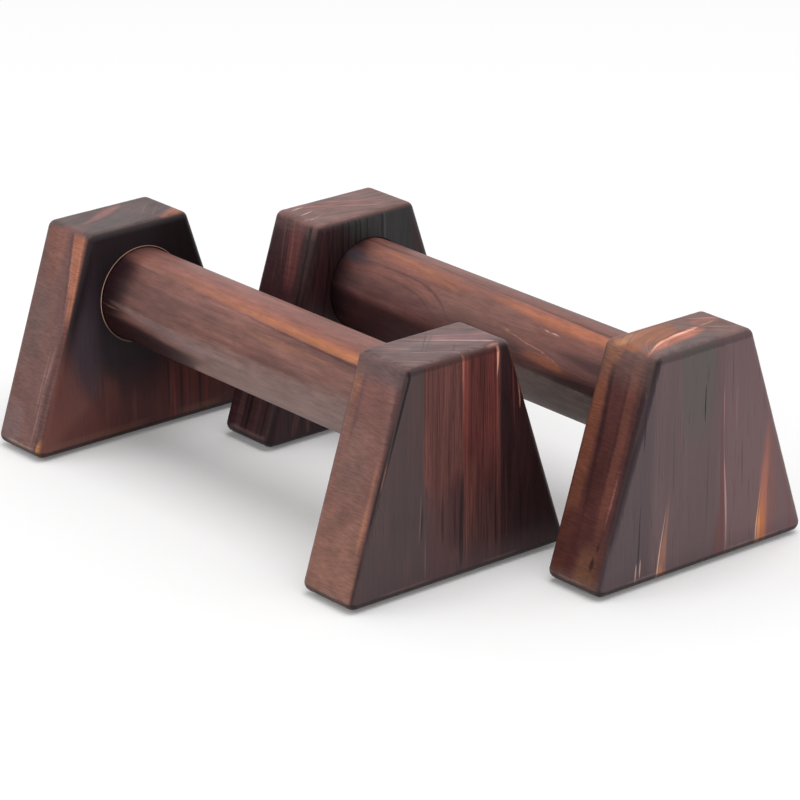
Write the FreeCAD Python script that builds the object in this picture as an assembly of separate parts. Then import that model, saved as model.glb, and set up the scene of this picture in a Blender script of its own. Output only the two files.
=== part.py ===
# A matched pair of low wooden parallette bars, in millimetres, +Z up.
#
# Each bar is a thick round handle glued into blind sockets in two trapezoid feet.
# A foot is one block of softwood with upright grain, cut from a 38 x 140 mm plank,
# with every edge eased to the same radius and a thin rubber sole glued under it.
# The pair stands nested and staggered: each handle passes beside the other bar's foot.
# The origin is on the floor, midway between the two bars. The handles lie along X.
import FreeCAD, Part
import os
from FreeCAD import Vector

# Foot: the plank's section sets the thickness and the width at the floor
FOOT_THICKNESS = 38.0
FOOT_BOTTOM_WIDTH = 140.0
FOOT_TOP_WIDTH = 63.5
FOOT_HEIGHT = 115.5
FOOT_EDGE_RADIUS = 4.0

# Sole: a rubber sheet under the flat of the foot, kept back from its rounded edge
SOLE_THICKNESS = 1.5
SOLE_MARGIN = 3.5
SOLE_CORNER_RADIUS = 3.0

# Handle: a round dowel
HANDLE_DIAMETER = 50.0
HANDLE_SPAN = 218.5
HANDLE_END_CHAMFER = 1.0

# Socket: a blind hole in the inner face of a foot, a glue film wider than the dowel
WOOD_ABOVE_HANDLE = 13.5
WOOD_BEHIND_SOCKET = 14.0
SOCKET_MOUTH_CHAMFER = 0.5
GLUE_FILM = 0.1

# Pair: clear room between one bar's handle and the other's foot, and from foot to foot
NEST_SIDE_GAP = 5.0
NEST_END_GAP = 27.0

# Every cutter runs this far past the face that it opens
CUT_OVERRUN = 2.0

# Sizes and places that follow from those above
FOOT_FLOOR = SOLE_THICKNESS
FOOT_TOP = FOOT_FLOOR + FOOT_HEIGHT
FOOT_INNER_FACE = HANDLE_SPAN / 2
HANDLE_RADIUS = HANDLE_DIAMETER / 2
HANDLE_AXIS_HEIGHT = FOOT_TOP - WOOD_ABOVE_HANDLE - HANDLE_RADIUS
SOCKET_RADIUS = HANDLE_RADIUS + GLUE_FILM
SOCKET_DEPTH = FOOT_THICKNESS - WOOD_BEHIND_SOCKET
PAIR_SPACING = FOOT_BOTTOM_WIDTH / 2 + HANDLE_RADIUS + NEST_SIDE_GAP
PAIR_STAGGER = FOOT_THICKNESS + NEST_END_GAP

X_AXIS = Vector(1, 0, 0)
Z_AXIS = Vector(0, 0, 1)
ORIGIN = Vector(0, 0, 0)


def solid_of_revolution(profile, axis_height):
    """The solid that a closed (x, radius) profile sweeps about a level axis along X."""
    points = [Vector(x, 0, axis_height + radius) for x, radius in profile]
    face = Part.Face(Part.makePolygon(points + points[:1]))
    return face.revolve(Vector(0, 0, axis_height), X_AXIS, 360)


def foot_block():
    """The front foot before boring: a trapezoid sawn through the plank, all edges eased."""
    half_bottom = FOOT_BOTTOM_WIDTH / 2
    half_top = FOOT_TOP_WIDTH / 2
    outline = [
        Vector(FOOT_INNER_FACE, -half_bottom, FOOT_FLOOR),
        Vector(FOOT_INNER_FACE, half_bottom, FOOT_FLOOR),
        Vector(FOOT_INNER_FACE, half_top, FOOT_TOP),
        Vector(FOOT_INNER_FACE, -half_top, FOOT_TOP),
    ]
    face = Part.Face(Part.makePolygon(outline + outline[:1]))
    block = face.extrude(X_AXIS * FOOT_THICKNESS)
    return block.makeFillet(FOOT_EDGE_RADIUS, block.Edges)


def socket_cutter():
    """The front foot's blind hole, with a small chamfer that leaves a pale ring at its mouth."""
    socket_end = FOOT_INNER_FACE + SOCKET_DEPTH
    mouth_radius = SOCKET_RADIUS + SOCKET_MOUTH_CHAMFER
    profile = [
        (socket_end, 0),
        (socket_end, SOCKET_RADIUS),
        (FOOT_INNER_FACE + SOCKET_MOUTH_CHAMFER, SOCKET_RADIUS),
        (FOOT_INNER_FACE, mouth_radius),
        (FOOT_INNER_FACE - CUT_OVERRUN, mouth_radius + CUT_OVERRUN),
        (FOOT_INNER_FACE - CUT_OVERRUN, 0),
    ]
    return solid_of_revolution(profile, HANDLE_AXIS_HEIGHT)


def front_foot():
    """The foot at the +X end of a bar whose middle is over the origin."""
    return foot_block().cut(socket_cutter())


def front_sole():
    """The rubber sheet under the front foot, a rectangle with rounded corners."""
    inset = FOOT_EDGE_RADIUS + SOLE_MARGIN
    length = FOOT_BOTTOM_WIDTH - 2 * inset
    breadth = FOOT_THICKNESS - 2 * inset
    corner = Vector(FOOT_INNER_FACE + inset, -length / 2, 0)
    sheet = Part.makeBox(breadth, length, SOLE_THICKNESS, corner)
    upright = [edge for edge in sheet.Edges if edge.BoundBox.ZLength > SOLE_THICKNESS / 2]
    return sheet.makeFillet(SOLE_CORNER_RADIUS, upright)


def handle():
    """The dowel: it ends a glue film short of the socket floors, with chamfers that lead it in."""
    end = FOOT_INNER_FACE + SOCKET_DEPTH - GLUE_FILM
    shoulder = end - HANDLE_END_CHAMFER
    tip_radius = HANDLE_RADIUS - HANDLE_END_CHAMFER
    profile = [
        (-end, 0),
        (-end, tip_radius),
        (-shoulder, HANDLE_RADIUS),
        (shoulder, HANDLE_RADIUS),
        (end, tip_radius),
        (end, 0),
    ]
    return solid_of_revolution(profile, HANDLE_AXIS_HEIGHT)


def turned_end_for_end(shape):
    """A copy of a front piece, turned half round to make the rear one."""
    turned = shape.copy()
    turned.rotate(ORIGIN, Z_AXIS, 180)
    return turned


def bar_pieces():
    """The separate pieces of one bar, by name, with the bar's middle over the origin."""
    foot = front_foot()
    sole = front_sole()
    return {
        "handle": handle(),
        "front_foot": foot,
        "rear_foot": turned_end_for_end(foot),
        "front_sole": sole,
        "rear_sole": turned_end_for_end(sole),
    }


def main():
    os.makedirs("parts", exist_ok=True)
    half_offset = Vector(PAIR_STAGGER / 2, PAIR_SPACING / 2, 0)
    places = {"left": -half_offset, "right": half_offset}
    for side, place in places.items():
        for name, shape in bar_pieces().items():
            piece = shape.translated(place)
            piece.exportStep(f"parts/{side}_{name}.step")
            print(f"{side}_{name}: {piece.Volume:.0f} mm3, valid {piece.isValid()}")
    print(f"handle axes {PAIR_SPACING:.1f} mm apart, {HANDLE_AXIS_HEIGHT:.1f} mm above the floor")


main()
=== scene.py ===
# %% [markdown]
# # A pair of scorched softwood parallette bars
# Each bar is a round handle glued into two trapezoid feet, with a thin rubber sheet under each foot.
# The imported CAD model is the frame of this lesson: it fixes where every piece is and how large.
# The CAD box is measured first, because the finished pieces have to stay inside it.

# %% Load the frame
import bpy
import numpy as np
from mathutils import Matrix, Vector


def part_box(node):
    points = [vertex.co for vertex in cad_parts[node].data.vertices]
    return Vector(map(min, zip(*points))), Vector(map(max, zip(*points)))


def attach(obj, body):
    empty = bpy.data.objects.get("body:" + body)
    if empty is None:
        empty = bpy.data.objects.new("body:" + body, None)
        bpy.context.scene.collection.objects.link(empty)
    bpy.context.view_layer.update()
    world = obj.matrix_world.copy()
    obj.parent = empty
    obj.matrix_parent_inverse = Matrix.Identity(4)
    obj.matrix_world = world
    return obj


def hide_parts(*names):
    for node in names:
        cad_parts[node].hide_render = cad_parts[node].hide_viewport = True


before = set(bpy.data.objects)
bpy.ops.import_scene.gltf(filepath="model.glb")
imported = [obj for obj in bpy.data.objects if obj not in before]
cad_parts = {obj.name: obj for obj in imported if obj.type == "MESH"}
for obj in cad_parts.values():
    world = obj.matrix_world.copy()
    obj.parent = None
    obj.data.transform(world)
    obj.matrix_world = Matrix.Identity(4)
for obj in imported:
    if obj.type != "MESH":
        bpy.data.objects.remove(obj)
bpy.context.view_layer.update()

# %% [markdown]
# ## Working in millimetres
# A woodworker marks out in millimetres, and Blender's frame is in metres.
# All shapes below are worked out in millimetres and turned to metres at the last moment.
# The sizes come from the boxes of the CAD pieces, so this script repeats only what a box can't tell.

# %% Sizes from the frame
MM = 0.001
EDGE_RADIUS = 4.0
SOCKET_DEPTH = 24.0
SOCKET_RADIUS = 25.1
MOUTH_CHAMFER = 0.5
# These widths are between sharp corners: rounding makes a foot's box a little narrower
BOTTOM_WIDTH = 140.0
TOP_WIDTH = 63.5


def box_mm(piece):
    """Lowest and highest corner of a CAD piece, in millimetres."""
    low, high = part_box(piece)
    return np.array(low) / MM, np.array(high) / MM


handle_low, handle_high = box_mm("left_handle")
foot_low, foot_high = box_mm("left_front_foot")
HANDLE_RADIUS = (handle_high[2] - handle_low[2]) / 2
AXIS_HEIGHT = (handle_high[2] + handle_low[2]) / 2
THICKNESS = foot_high[0] - foot_low[0]
FLOOR, TOP = foot_low[2], foot_high[2]
print(f"foot {THICKNESS:.1f} x {BOTTOM_WIDTH:.1f} mm, z {FLOOR:.1f} to {TOP:.1f} mm")
print(f"handle radius {HANDLE_RADIUS:.1f} mm, its axis {AXIS_HEIGHT:.1f} mm up")

# %% [markdown]
# ## The camera
# The photograph looks down by 21 degrees from in front and to the left, from far away with a long lens.
# A camera could be aimed by hand with a constraint. Here its three axes are worked out from the viewing
# angles and set as a matrix, because the angles were fitted to the edges of both bars.

# %% Set the camera
AZIMUTH, ELEVATION, ROLL = np.radians([50.402, 21.011, -0.33])
AIM = np.array([-32.5, -50.0, 57.5])
DISTANCE, SIDE_STEP, RISE = 2101.3, 65.33, -6.25
FOCAL_PIXELS = 4153.1
IMAGE_PIXELS = 800
SENSOR_WIDTH = 36.0
NEAREST, FARTHEST = 0.05, 50.0


def standing(right, up, back, place):
    """The matrix that stands an object at a place, with its x, y and z axes along right, up and back."""
    return Matrix(np.vstack([np.stack([right, up, back, place], 1), [0, 0, 0, 1]]).tolist())


level_back = np.array([np.sin(AZIMUTH), -np.cos(AZIMUTH), 0.0])
back = level_back * np.cos(ELEVATION) + np.array([0, 0, np.sin(ELEVATION)])
level_right = np.array([np.cos(AZIMUTH), np.sin(AZIMUTH), 0.0])
level_up = np.cross(back, level_right)
right = level_right * np.cos(ROLL) + level_up * np.sin(ROLL)
up = level_up * np.cos(ROLL) - level_right * np.sin(ROLL)
eye = (AIM + back * DISTANCE + right * SIDE_STEP + up * RISE) * MM

camera_data = bpy.data.cameras.new("photo_camera")
camera_data.sensor_width = SENSOR_WIDTH
camera_data.lens = SENSOR_WIDTH * FOCAL_PIXELS / IMAGE_PIXELS
camera_data.clip_start = NEAREST
camera_data.clip_end = FARTHEST
camera = bpy.data.objects.new("photo_camera", camera_data)
camera.matrix_world = standing(right, up, back, eye)
bpy.context.scene.collection.objects.link(camera)
bpy.context.scene.camera = camera
print("camera at", np.round(eye, 3), "lens", round(camera_data.lens, 1), "mm")

# %% [markdown]
# ## Colours and nodes
# Paint charts give colours as sRGB hex values, and a shader calculates with linear light.
# One function turns the first into the second, and one adds any node with its settings and links.
# Nodes could be dragged together by hand, but a script can wire the same finish on every foot.


# %% Colour and node helpers
def linear(hex_colour):
    """Linear RGBA of an sRGB hex colour: a channel c is c/12.92 when dark, else ((c+0.055)/1.055)^2.4."""
    channels = np.array([int(hex_colour[i:i + 2], 16) for i in (1, 3, 5)]) / 255
    light = np.where(channels <= 0.04045, channels / 12.92, ((channels + 0.055) / 1.055) ** 2.4)
    return (*light.tolist(), 1.0)


def node(tree, kind, inputs=(), **settings):
    """Adds one node, sets its properties, then links or sets its inputs, in order or keyed by name or number.
    A node that is given as an input is linked from its first output."""
    made = tree.nodes.new(kind)
    for name, value in settings.items():
        setattr(made, name, value)
    keyed = inputs if isinstance(inputs, dict) else dict(enumerate(inputs))
    for key, value in keyed.items():
        source = value.outputs[0] if isinstance(value, bpy.types.Node) else value
        if isinstance(source, bpy.types.NodeSocket):
            tree.links.new(source, made.inputs[key])
        else:
            made.inputs[key].default_value = source
    return made


def empty_material(name):
    """A material with only its output node, ready to be wired."""
    material = bpy.data.materials.new(name)
    material.use_nodes = True
    material.node_tree.nodes.clear()
    return material, node(material.node_tree, "ShaderNodeOutputMaterial")


print("white is", linear("#ffffff"), "and middle grey is", linear("#808080"))

# %% [markdown]
# ## Floor, sky and lamps
# The bars stand on white paper under soft light that comes mostly from above and a little from the left.
# A pure white floor would need so much light that the wood would wash out. Here the floor is lit at
# a plain level, and gives off a little light of its own that only the camera and reflections see,
# which lifts the open floor to white and leaves the shadow grey.

# %% Floor
FLOOR_HALF = 4.0
PAPER_LIFT = 0.10


def seen_rays(tree):
    """1 for a ray from the camera, or on from there by a reflection or through glass, and 0 for any other."""
    path = node(tree, "ShaderNodeLightPath")
    seen = path.outputs["Is Camera Ray"]
    for kind in ("Is Glossy Ray", "Is Transmission Ray"):
        seen = node(tree, "ShaderNodeMath", [seen, path.outputs[kind]], operation="ADD", use_clamp=True)
    return seen


floor_mesh = bpy.data.meshes.new("paper_floor")
floor_corners = FLOOR_HALF * np.array([[-1, -1, 0], [1, -1, 0], [1, 1, 0], [-1, 1, 0]])
floor_mesh.from_pydata(floor_corners.tolist(), [], [(0, 1, 2, 3)])
floor = bpy.data.objects.new("paper_floor", floor_mesh)
bpy.context.scene.collection.objects.link(floor)

paper, paper_out = empty_material("matt_white_paper")
tree = paper.node_tree
lift = node(tree, "ShaderNodeMath", [seen_rays(tree), PAPER_LIFT], operation="MULTIPLY")
glow = node(tree, "ShaderNodeEmission", {"Color": linear("#ffffff"), "Strength": lift})
matt = node(tree, "ShaderNodeBsdfDiffuse", {"Color": linear("#f5f5f5")})
both = node(tree, "ShaderNodeAddShader", [matt, glow])
tree.links.new(both.outputs[0], paper_out.inputs["Surface"])
floor_mesh.materials.append(paper)
print("floor", 2 * FLOOR_HALF, "m square")

# %% Sky
SKY_LEVEL = 0.62
world = bpy.data.worlds.new("studio")
world.use_nodes = True
tree = world.node_tree
tree.nodes.clear()
level = node(tree, "ShaderNodeMapRange", {"Value": seen_rays(tree), "To Min": SKY_LEVEL, "To Max": 1.0})
sky = node(tree, "ShaderNodeBackground", {"Color": linear("#ffffff"), "Strength": level})
node(tree, "ShaderNodeOutputWorld", {"Surface": sky})
bpy.context.scene.world = world
bpy.context.scene.view_settings.view_transform = "Standard"
print("sky gives", SKY_LEVEL, "and looks white")

# %% Lamps
BARS_MIDDLE = np.array([0, 0, 0.06])


def softbox(name, place, size, watts):
    """A square area lamp at a place in metres, turned to the middle of the bars."""
    lamp = bpy.data.lights.new(name, "AREA")
    lamp.size = size
    lamp.energy = watts
    holder = bpy.data.objects.new(name, lamp)
    away = np.array(place) - BARS_MIDDLE
    away = away / np.linalg.norm(away)
    side = np.cross([0, 1, 0], away)
    side = side / np.linalg.norm(side)
    holder.matrix_world = standing(side, np.cross(away, side), away, np.array(place))
    bpy.context.scene.collection.objects.link(holder)
    print(name, "at", place, watts, "W")


softbox("overhead_softbox", (0.5, 0.1, 3.0), 2.4, 42.0)
softbox("left_softbox", (-1.1, -1.5, 1.0), 1.2, 5.0)

# %% [markdown]
# ## From a grid of points to a mesh
# Every piece here is a sheet of points in rows and columns: the columns run round the piece and meet
# themselves again, and the rows run from one closing point to the other. Blender could loft such a shape
# from curves, but a plain grid gives even faces, and any measure worked out on the grid, such as
# the distance from the middle of the tree, can be stored on its points for the material to read.

# %% Mesh from a grid
SHARP_ANGLE = np.radians(40)


def closed_grid_piece(name, points, first_pole, last_pole, measures):
    """Mesh of rows x columns points in mm, closed round the columns, with a fan to a pole at each end.
    measures are named numbers on the points, one grid each, and take their edge rows' mean at the poles."""
    rows, columns, _ = points.shape
    index = np.arange(rows * columns).reshape(rows, columns)
    beside = np.roll(index, -1, axis=1)
    quads = np.stack([index[:-1], beside[:-1], beside[1:], index[1:]], -1).reshape(-1, 4)
    first, last = rows * columns, rows * columns + 1
    fan_in = np.stack([np.full(columns, first), beside[0], index[0]], -1)
    fan_out = np.stack([np.full(columns, last), index[-1], beside[-1]], -1)
    places = np.concatenate([points.reshape(-1, 3), [first_pole], [last_pole]]) * MM
    mesh = bpy.data.meshes.new(name)
    mesh.from_pydata(places.tolist(), [], quads.tolist() + fan_in.tolist() + fan_out.tolist())
    for measure, grid in measures.items():
        values = np.concatenate([grid.ravel(), [grid[0].mean()], [grid[-1].mean()]])
        mesh.attributes.new(measure, "FLOAT", "POINT").data.foreach_set("value", values.astype(np.float32))
    mesh.polygons.foreach_set("use_smooth", np.ones(len(mesh.polygons), dtype=bool))
    mesh.set_sharp_from_angle(angle=SHARP_ANGLE)
    mesh.update()
    piece = bpy.data.objects.new(name, mesh)
    bpy.context.scene.collection.objects.link(piece)
    print(name, len(mesh.polygons), "faces")
    return piece


print("edges of more than", round(np.degrees(SHARP_ANGLE)), "degrees stay sharp")

# %% [markdown]
# ## The shape of a foot
# A foot is sawn from a plank as a trapezoid, and a router eases all its edges to the same radius. A bevel on
# a plain block would do that too, but leaves a few very large faces with nowhere to store the growth rings.
# So the surface starts at the bottom of the socket, comes out along the bore, spreads over the inner
# face, rolls over the rounded edge, crosses the thickness, rolls over again and closes on the outer face.

# %% Outline of the foot
OUTLINE_STEP = 0.95
CORNER_EASE = 0.6
EDGE_STEPS = 8


def foot_outline():
    """Points round the trapezoid, moved in by the edge radius, and the outward direction at each.
    A straight side repeats one direction, and a corner turns in small steps from one side's to the next's."""
    inset = EDGE_RADIUS + CORNER_EASE
    low, high = BOTTOM_WIDTH / 2, TOP_WIDTH / 2
    slope = np.array([TOP - FLOOR, low - high])
    slope = slope / np.linalg.norm(slope)
    outward = np.array([[0, -1], slope, [0, 1], slope * [-1, 1]])
    through = np.array([[low, FLOOR], [low, FLOOR], [high, TOP], [-low, FLOOR]])
    level = (outward * through).sum(1) - inset
    corners = [np.linalg.solve(outward[[k - 1, k]], level[[k - 1, k]]) for k in range(4)]
    places, directions = [], []
    for k in range(4):
        start, end = corners[k], corners[(k + 1) % 4]
        count = int(np.ceil(np.linalg.norm(end - start) / OUTLINE_STEP)) + 1
        share = np.linspace(0, 1, count)[:, None]
        places.append(start + (end - start) * share)
        directions.append(np.repeat(outward[k:k + 1], count, 0))
        angle = np.arctan2(*outward[k][::-1])
        turn = (np.arctan2(*outward[(k + 1) % 4][::-1]) - angle) % (2 * np.pi)
        turned = angle + turn * np.linspace(0, 1, EDGE_STEPS)[1:-1]
        places.append(np.repeat(end[None], EDGE_STEPS - 2, 0))
        directions.append(np.stack([np.cos(turned), np.sin(turned)], -1))
    return np.concatenate(places), np.concatenate(directions)


outline_core, outline_outward = foot_outline()
print(len(outline_core), "points round the foot")

# %% Rows of the socket and the two faces
INNER_ROWS = 45
OUTER_ROWS = 64
HANDLE_AXIS = np.array([0.0, AXIS_HEIGHT])
FACE_MIDDLE = np.array([0.0, 52.0])
COLUMNS = len(outline_core)
face_loop = outline_core + CORNER_EASE * outline_outward
ray = (face_loop - HANDLE_AXIS) / np.linalg.norm(face_loop - HANDLE_AXIS, axis=1, keepdims=True)
mouth_loop = HANDLE_AXIS + (SOCKET_RADIUS + MOUTH_CHAMFER) * ray


def bore_rows():
    """Out of the socket: circles of a radius at a depth, on rays from the handle's axis, facing that axis."""
    depth = np.array([SOCKET_DEPTH, SOCKET_DEPTH, 0.5 * SOCKET_DEPTH, MOUTH_CHAMFER, 0.0])
    radius = SOCKET_RADIUS + np.array([-0.5 * SOCKET_RADIUS, 0.0, 0.0, 0.0, MOUTH_CHAMFER])
    loops = HANDLE_AXIS + radius[:, None, None] * ray
    inward = np.concatenate([np.zeros((COLUMNS, 1)), -ray], 1)
    return depth, loops, np.broadcast_to(inward, (len(depth), COLUMNS, 3))


def face_rows(first_loop, last_loop, shares, depth, direction):
    """A flat face: loops that go from the first to the last by shares from 0 to 1, all at one depth."""
    share = shares[:, None, None]
    loops = first_loop * (1 - share) + last_loop * share
    return np.full(len(shares), depth), loops, np.broadcast_to(direction, (len(shares), COLUMNS, 3))


bore = bore_rows()
BORE_ROWS = len(bore[0])
inner_shares = np.linspace(0, 1, INNER_ROWS + 1)[1:]
outer_shares = np.linspace(0, 1, OUTER_ROWS + 2)[1:-1]
inner_rows = face_rows(mouth_loop, face_loop, inner_shares, 0.0, [-1.0, 0, 0])
outer_rows = face_rows(face_loop, FACE_MIDDLE, outer_shares, THICKNESS, [1.0, 0, 0])
print("rows on the bore and the faces:", BORE_ROWS, INNER_ROWS, OUTER_ROWS)

# %% Rows over the edges
SIDE_ROWS = 33


def edge_rows():
    """From face to face over two rounded edges and the sides between them. On an edge of radius r, at an
    angle a from 0 to 90 degrees, the loop stands r*sin(a) out from the outline and r*(1-cos(a)) in from
    the face."""
    angle = np.linspace(0, np.pi / 2, EDGE_STEPS + 1)[1:]
    rolled = np.concatenate([angle, np.full(SIDE_ROWS, np.pi / 2), angle[::-1], [0.0]])
    drop = EDGE_RADIUS * (1 - np.cos(angle))
    sides = np.linspace(EDGE_RADIUS, THICKNESS - EDGE_RADIUS, SIDE_ROWS + 2)[1:-1]
    depth = np.concatenate([drop, sides, THICKNESS - drop[::-1], [THICKNESS]])
    out = CORNER_EASE + EDGE_RADIUS * np.sin(rolled)
    loops = outline_core + out[:, None, None] * outline_outward
    lean = np.where(depth < THICKNESS / 2, -1, 1) * np.cos(rolled)
    lean = np.broadcast_to(lean[:, None, None], (len(lean), COLUMNS, 1))
    spread = np.sin(rolled)[:, None, None] * outline_outward
    return depth, loops, np.concatenate([lean, spread], -1)


all_rows = zip(bore, inner_rows, edge_rows(), outer_rows)
foot_depth, foot_loops, foot_outward = (np.concatenate(parts) for parts in all_rows)
foot_depth = np.broadcast_to(foot_depth[:, None, None], foot_loops.shape[:2] + (1,))
foot_points = np.concatenate([foot_depth, foot_loops], -1)
foot_poles = np.array([[SOCKET_DEPTH, *HANDLE_AXIS], [THICKNESS, *FACE_MIDDLE]])
print("foot grid", foot_points.shape)

# %% [markdown]
# ## Growth rings
# The feet are cut with upright grain, so the rings of the tree show as lines up the faces and as arcs on
# the top. Each foot comes from another part of the log. Rings could be drawn face by face, but if the place
# of the pith, the middle of the tree, is known beside the block, the distance from it gives every ring on
# every face at once, and they meet at the edges.

# %% Ring distance
SLOW_WAVE = (31.0, 47.0)
QUICK_WAVE = (13.0, 29.0)
QUICK_SHARE, QUICK_START = 0.5, 1.3


def ring_distance(across, beside, along, pith, wander):
    """Distance in mm from the pith line, which runs along the grain, plus wander times two sine waves, a slow
    and a quick one, because no tree grows quite straight."""
    slow = np.sin(along / SLOW_WAVE[0] + beside / SLOW_WAVE[1])
    quick = np.sin(along / QUICK_WAVE[0] - across / QUICK_WAVE[1] + QUICK_START)
    return np.hypot(across - pith[0], beside - pith[1]) + wander * (slow + QUICK_SHARE * quick)


FOOT_WANDER = 0.9
FOOT_PITH = {
    "left_front": (-154.0, 127.0),
    "left_rear": (-137.0, -45.0),
    "right_front": (27.4, -1.5),
    "right_rear": (-240.0, 65.0),
}
print("pith places beside the feet, in mm:", FOOT_PITH)

# %% [markdown]
# ## Brushed grain
# A wire brush wears the soft early wood between the rings a few hundredths of a millimetre deeper than
# the late wood. A bump in the material would only shade this, so the surface itself is lowered by it.

# %% Depth of brushing
BRUSHED_DEPTH = 0.06
WIDE_RINGS, FINE_RINGS = 1.26, 2.9


def brushed(rings):
    """How far brushing lowers the wood, in mm: half of the depth, and two sine waves of the ring distance,
    whose crests lie about 5 mm and 2 mm apart."""
    return BRUSHED_DEPTH * (0.5 + 0.3 * np.sin(WIDE_RINGS * rings) + 0.2 * np.sin(FINE_RINGS * rings + 1))


print("brushing lowers the wood by up to", BRUSHED_DEPTH, "mm")

# %% [markdown]
# ## Feet on the frame
# The four feet share one surface, and a rear foot is the front one turned half round. A bench would have four
# equal blocks too. Each point keeps its ring distance and tells which face it is on, from its outward
# direction, so that the material can treat the faces apart and fade from one to the next over the rounded
# edges. Three more measures mark the edges: one for the upright ones, one at the top, and one at the floor
# that carries painted shade.

# %% Faces and edges of a foot
FACES = ("outer", "inner", "left", "right", "top")
# Each fade: where a weight begins to grow and where it is full
FACE_FADE = (0.45, 0.85)
ARRIS_FADE = (0.10, 0.25)
STILE_FADE = (0.5, 0.9)
BROW_FADE = (0.4, 0.8)
# The fade at the floor shapes painted shade under the bottom edge
SILL_SHADE_FADE = (0.02, 0.25)
TINY = 1e-6


def smooth(low, high, value):
    """0 below low, 1 above high, and between them an S curve 3t^2 - 2t^3."""
    share = np.clip((value - low) / (high - low), 0, 1)
    return share * share * (3 - 2 * share)


def face_measures(outward, to_outer):
    """Weights from 0 to 1: a face's is an S curve of how far the outward direction leans its way. An arris is
    where that direction lies between a face and the sides."""
    x, y, z = np.moveaxis(outward, -1, 0)
    leanings = dict(zip(FACES, (x * to_outer, -x * to_outer, -y, y, z)))
    measures = {face: smooth(*FACE_FADE, leaning) for face, leaning in leanings.items()}
    round_the_edge = np.hypot(y, z)
    arris = smooth(*ARRIS_FADE, 1 - np.maximum(np.abs(x), round_the_edge))
    slant = np.abs(y) / np.maximum(round_the_edge, TINY)
    measures["stile"] = arris * smooth(*STILE_FADE, slant)
    measures["brow"] = arris * smooth(*BROW_FADE, 1 - slant) * (z > 0)
    # The weight at the floor is where painted shade goes, under the rounded bottom edge
    measures["sill"] = smooth(*SILL_SHADE_FADE, -z) * smooth(*SILL_SHADE_FADE, 1 + z)
    return measures


print("measures on a foot:", list(face_measures(foot_outward, 1)))


# %% Build the feet
def foot(bar, end):
    """One foot: the shared surface, moved to its place, lowered by brushing, with measures on its points."""
    name = f"{bar}_{end}"
    low, high = box_mm(f"{name}_foot")
    half_turn = np.array([1, 1, 1]) if end == "front" else np.array([-1, -1, 1])
    to_middle = np.array([THICKNESS / 2, 0, 0])
    local = (foot_points - to_middle) * half_turn
    outward = foot_outward * half_turn
    rings = ring_distance(*np.moveaxis(local, -1, 0), FOOT_PITH[name], FOOT_WANDER)
    measures = {"ring": rings, **face_measures(outward, half_turn[0])}
    worn = brushed(rings)
    worn[:BORE_ROWS] = 0
    offset = np.array([*(low + high)[:2] / 2, 0])
    points = local - outward * worn[..., None] + offset
    poles = (foot_poles - to_middle) * half_turn + offset
    return closed_grid_piece(f"{name}_scorched_foot", points, *poles, measures)


feet = {f"{bar}_{end}": foot(bar, end) for bar in ("left", "right") for end in ("front", "rear")}
print(len(feet), "feet")

# %% [markdown]
# ## The handles
# A handle is a dowel turned from one stick, with its grain along the bar. A cylinder from Blender's menu
# would have its faces in long strips. Here it is a grid fine enough to be brushed, and the growth rings cut
# it in long wavy tongues, which come by themselves from the ring distance on the round surface.

# %% Build the handles
HANDLE_PITH = {"left": (38.0, -12.0), "right": (-20.0, 34.0)}
HANDLE_WANDER = 1.6
HANDLE_ROWS = 266
HANDLE_COLUMNS = 180
END_CHAMFER = 1.0


def handle(bar):
    """A dowel: rows along X, columns round it. At an angle a from the top, a point is at -r*sin(a) across and
    r*cos(a) up from the axis."""
    low, high = box_mm(f"{bar}_handle")
    centre = (low + high) / 2
    half = (high[0] - low[0]) / 2
    body = np.linspace(-half + END_CHAMFER, half - END_CHAMFER, HANDLE_ROWS)
    along = np.concatenate([[-half, -half], body, [half, half]])
    end = np.array([0.5 * HANDLE_RADIUS, HANDLE_RADIUS - END_CHAMFER])
    radius = np.concatenate([end, np.full(HANDLE_ROWS, HANDLE_RADIUS), end[::-1]])
    turn = np.linspace(0, 2 * np.pi, HANDLE_COLUMNS, endpoint=False)
    angle, x = np.meshgrid(turn, along)
    round_out = np.stack([np.zeros_like(x), -np.sin(angle), np.cos(angle)], -1)
    local = round_out * radius[:, None, None] + np.stack([x, 0 * x, 0 * x], -1)
    rings = ring_distance(local[..., 1], local[..., 2], x, HANDLE_PITH[bar], HANDLE_WANDER)
    local = local - round_out * brushed(rings)[..., None]
    offset = np.array([centre[0], centre[1], AXIS_HEIGHT])
    poles = [offset + [-half, 0, 0], offset + [half, 0, 0]]
    return closed_grid_piece(f"{bar}_scorched_handle", local + offset, *poles, {})


handles = {bar: handle(bar) for bar in ("left", "right")}
print(len(handles), "handles")

# %% [markdown]
# ## The soles
# A thin sheet of black rubber is glued under each foot, a little smaller than the foot. From the side only
# a dark line shows. It could be a plain box, but cut sheet has round corners, and an eased edge catches some
# light, so it is a slab of six loops.

# %% Build the soles
SOLE_CORNER = 3.0
SOLE_EASE = 0.3
SOLE_POINTS = 160


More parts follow.
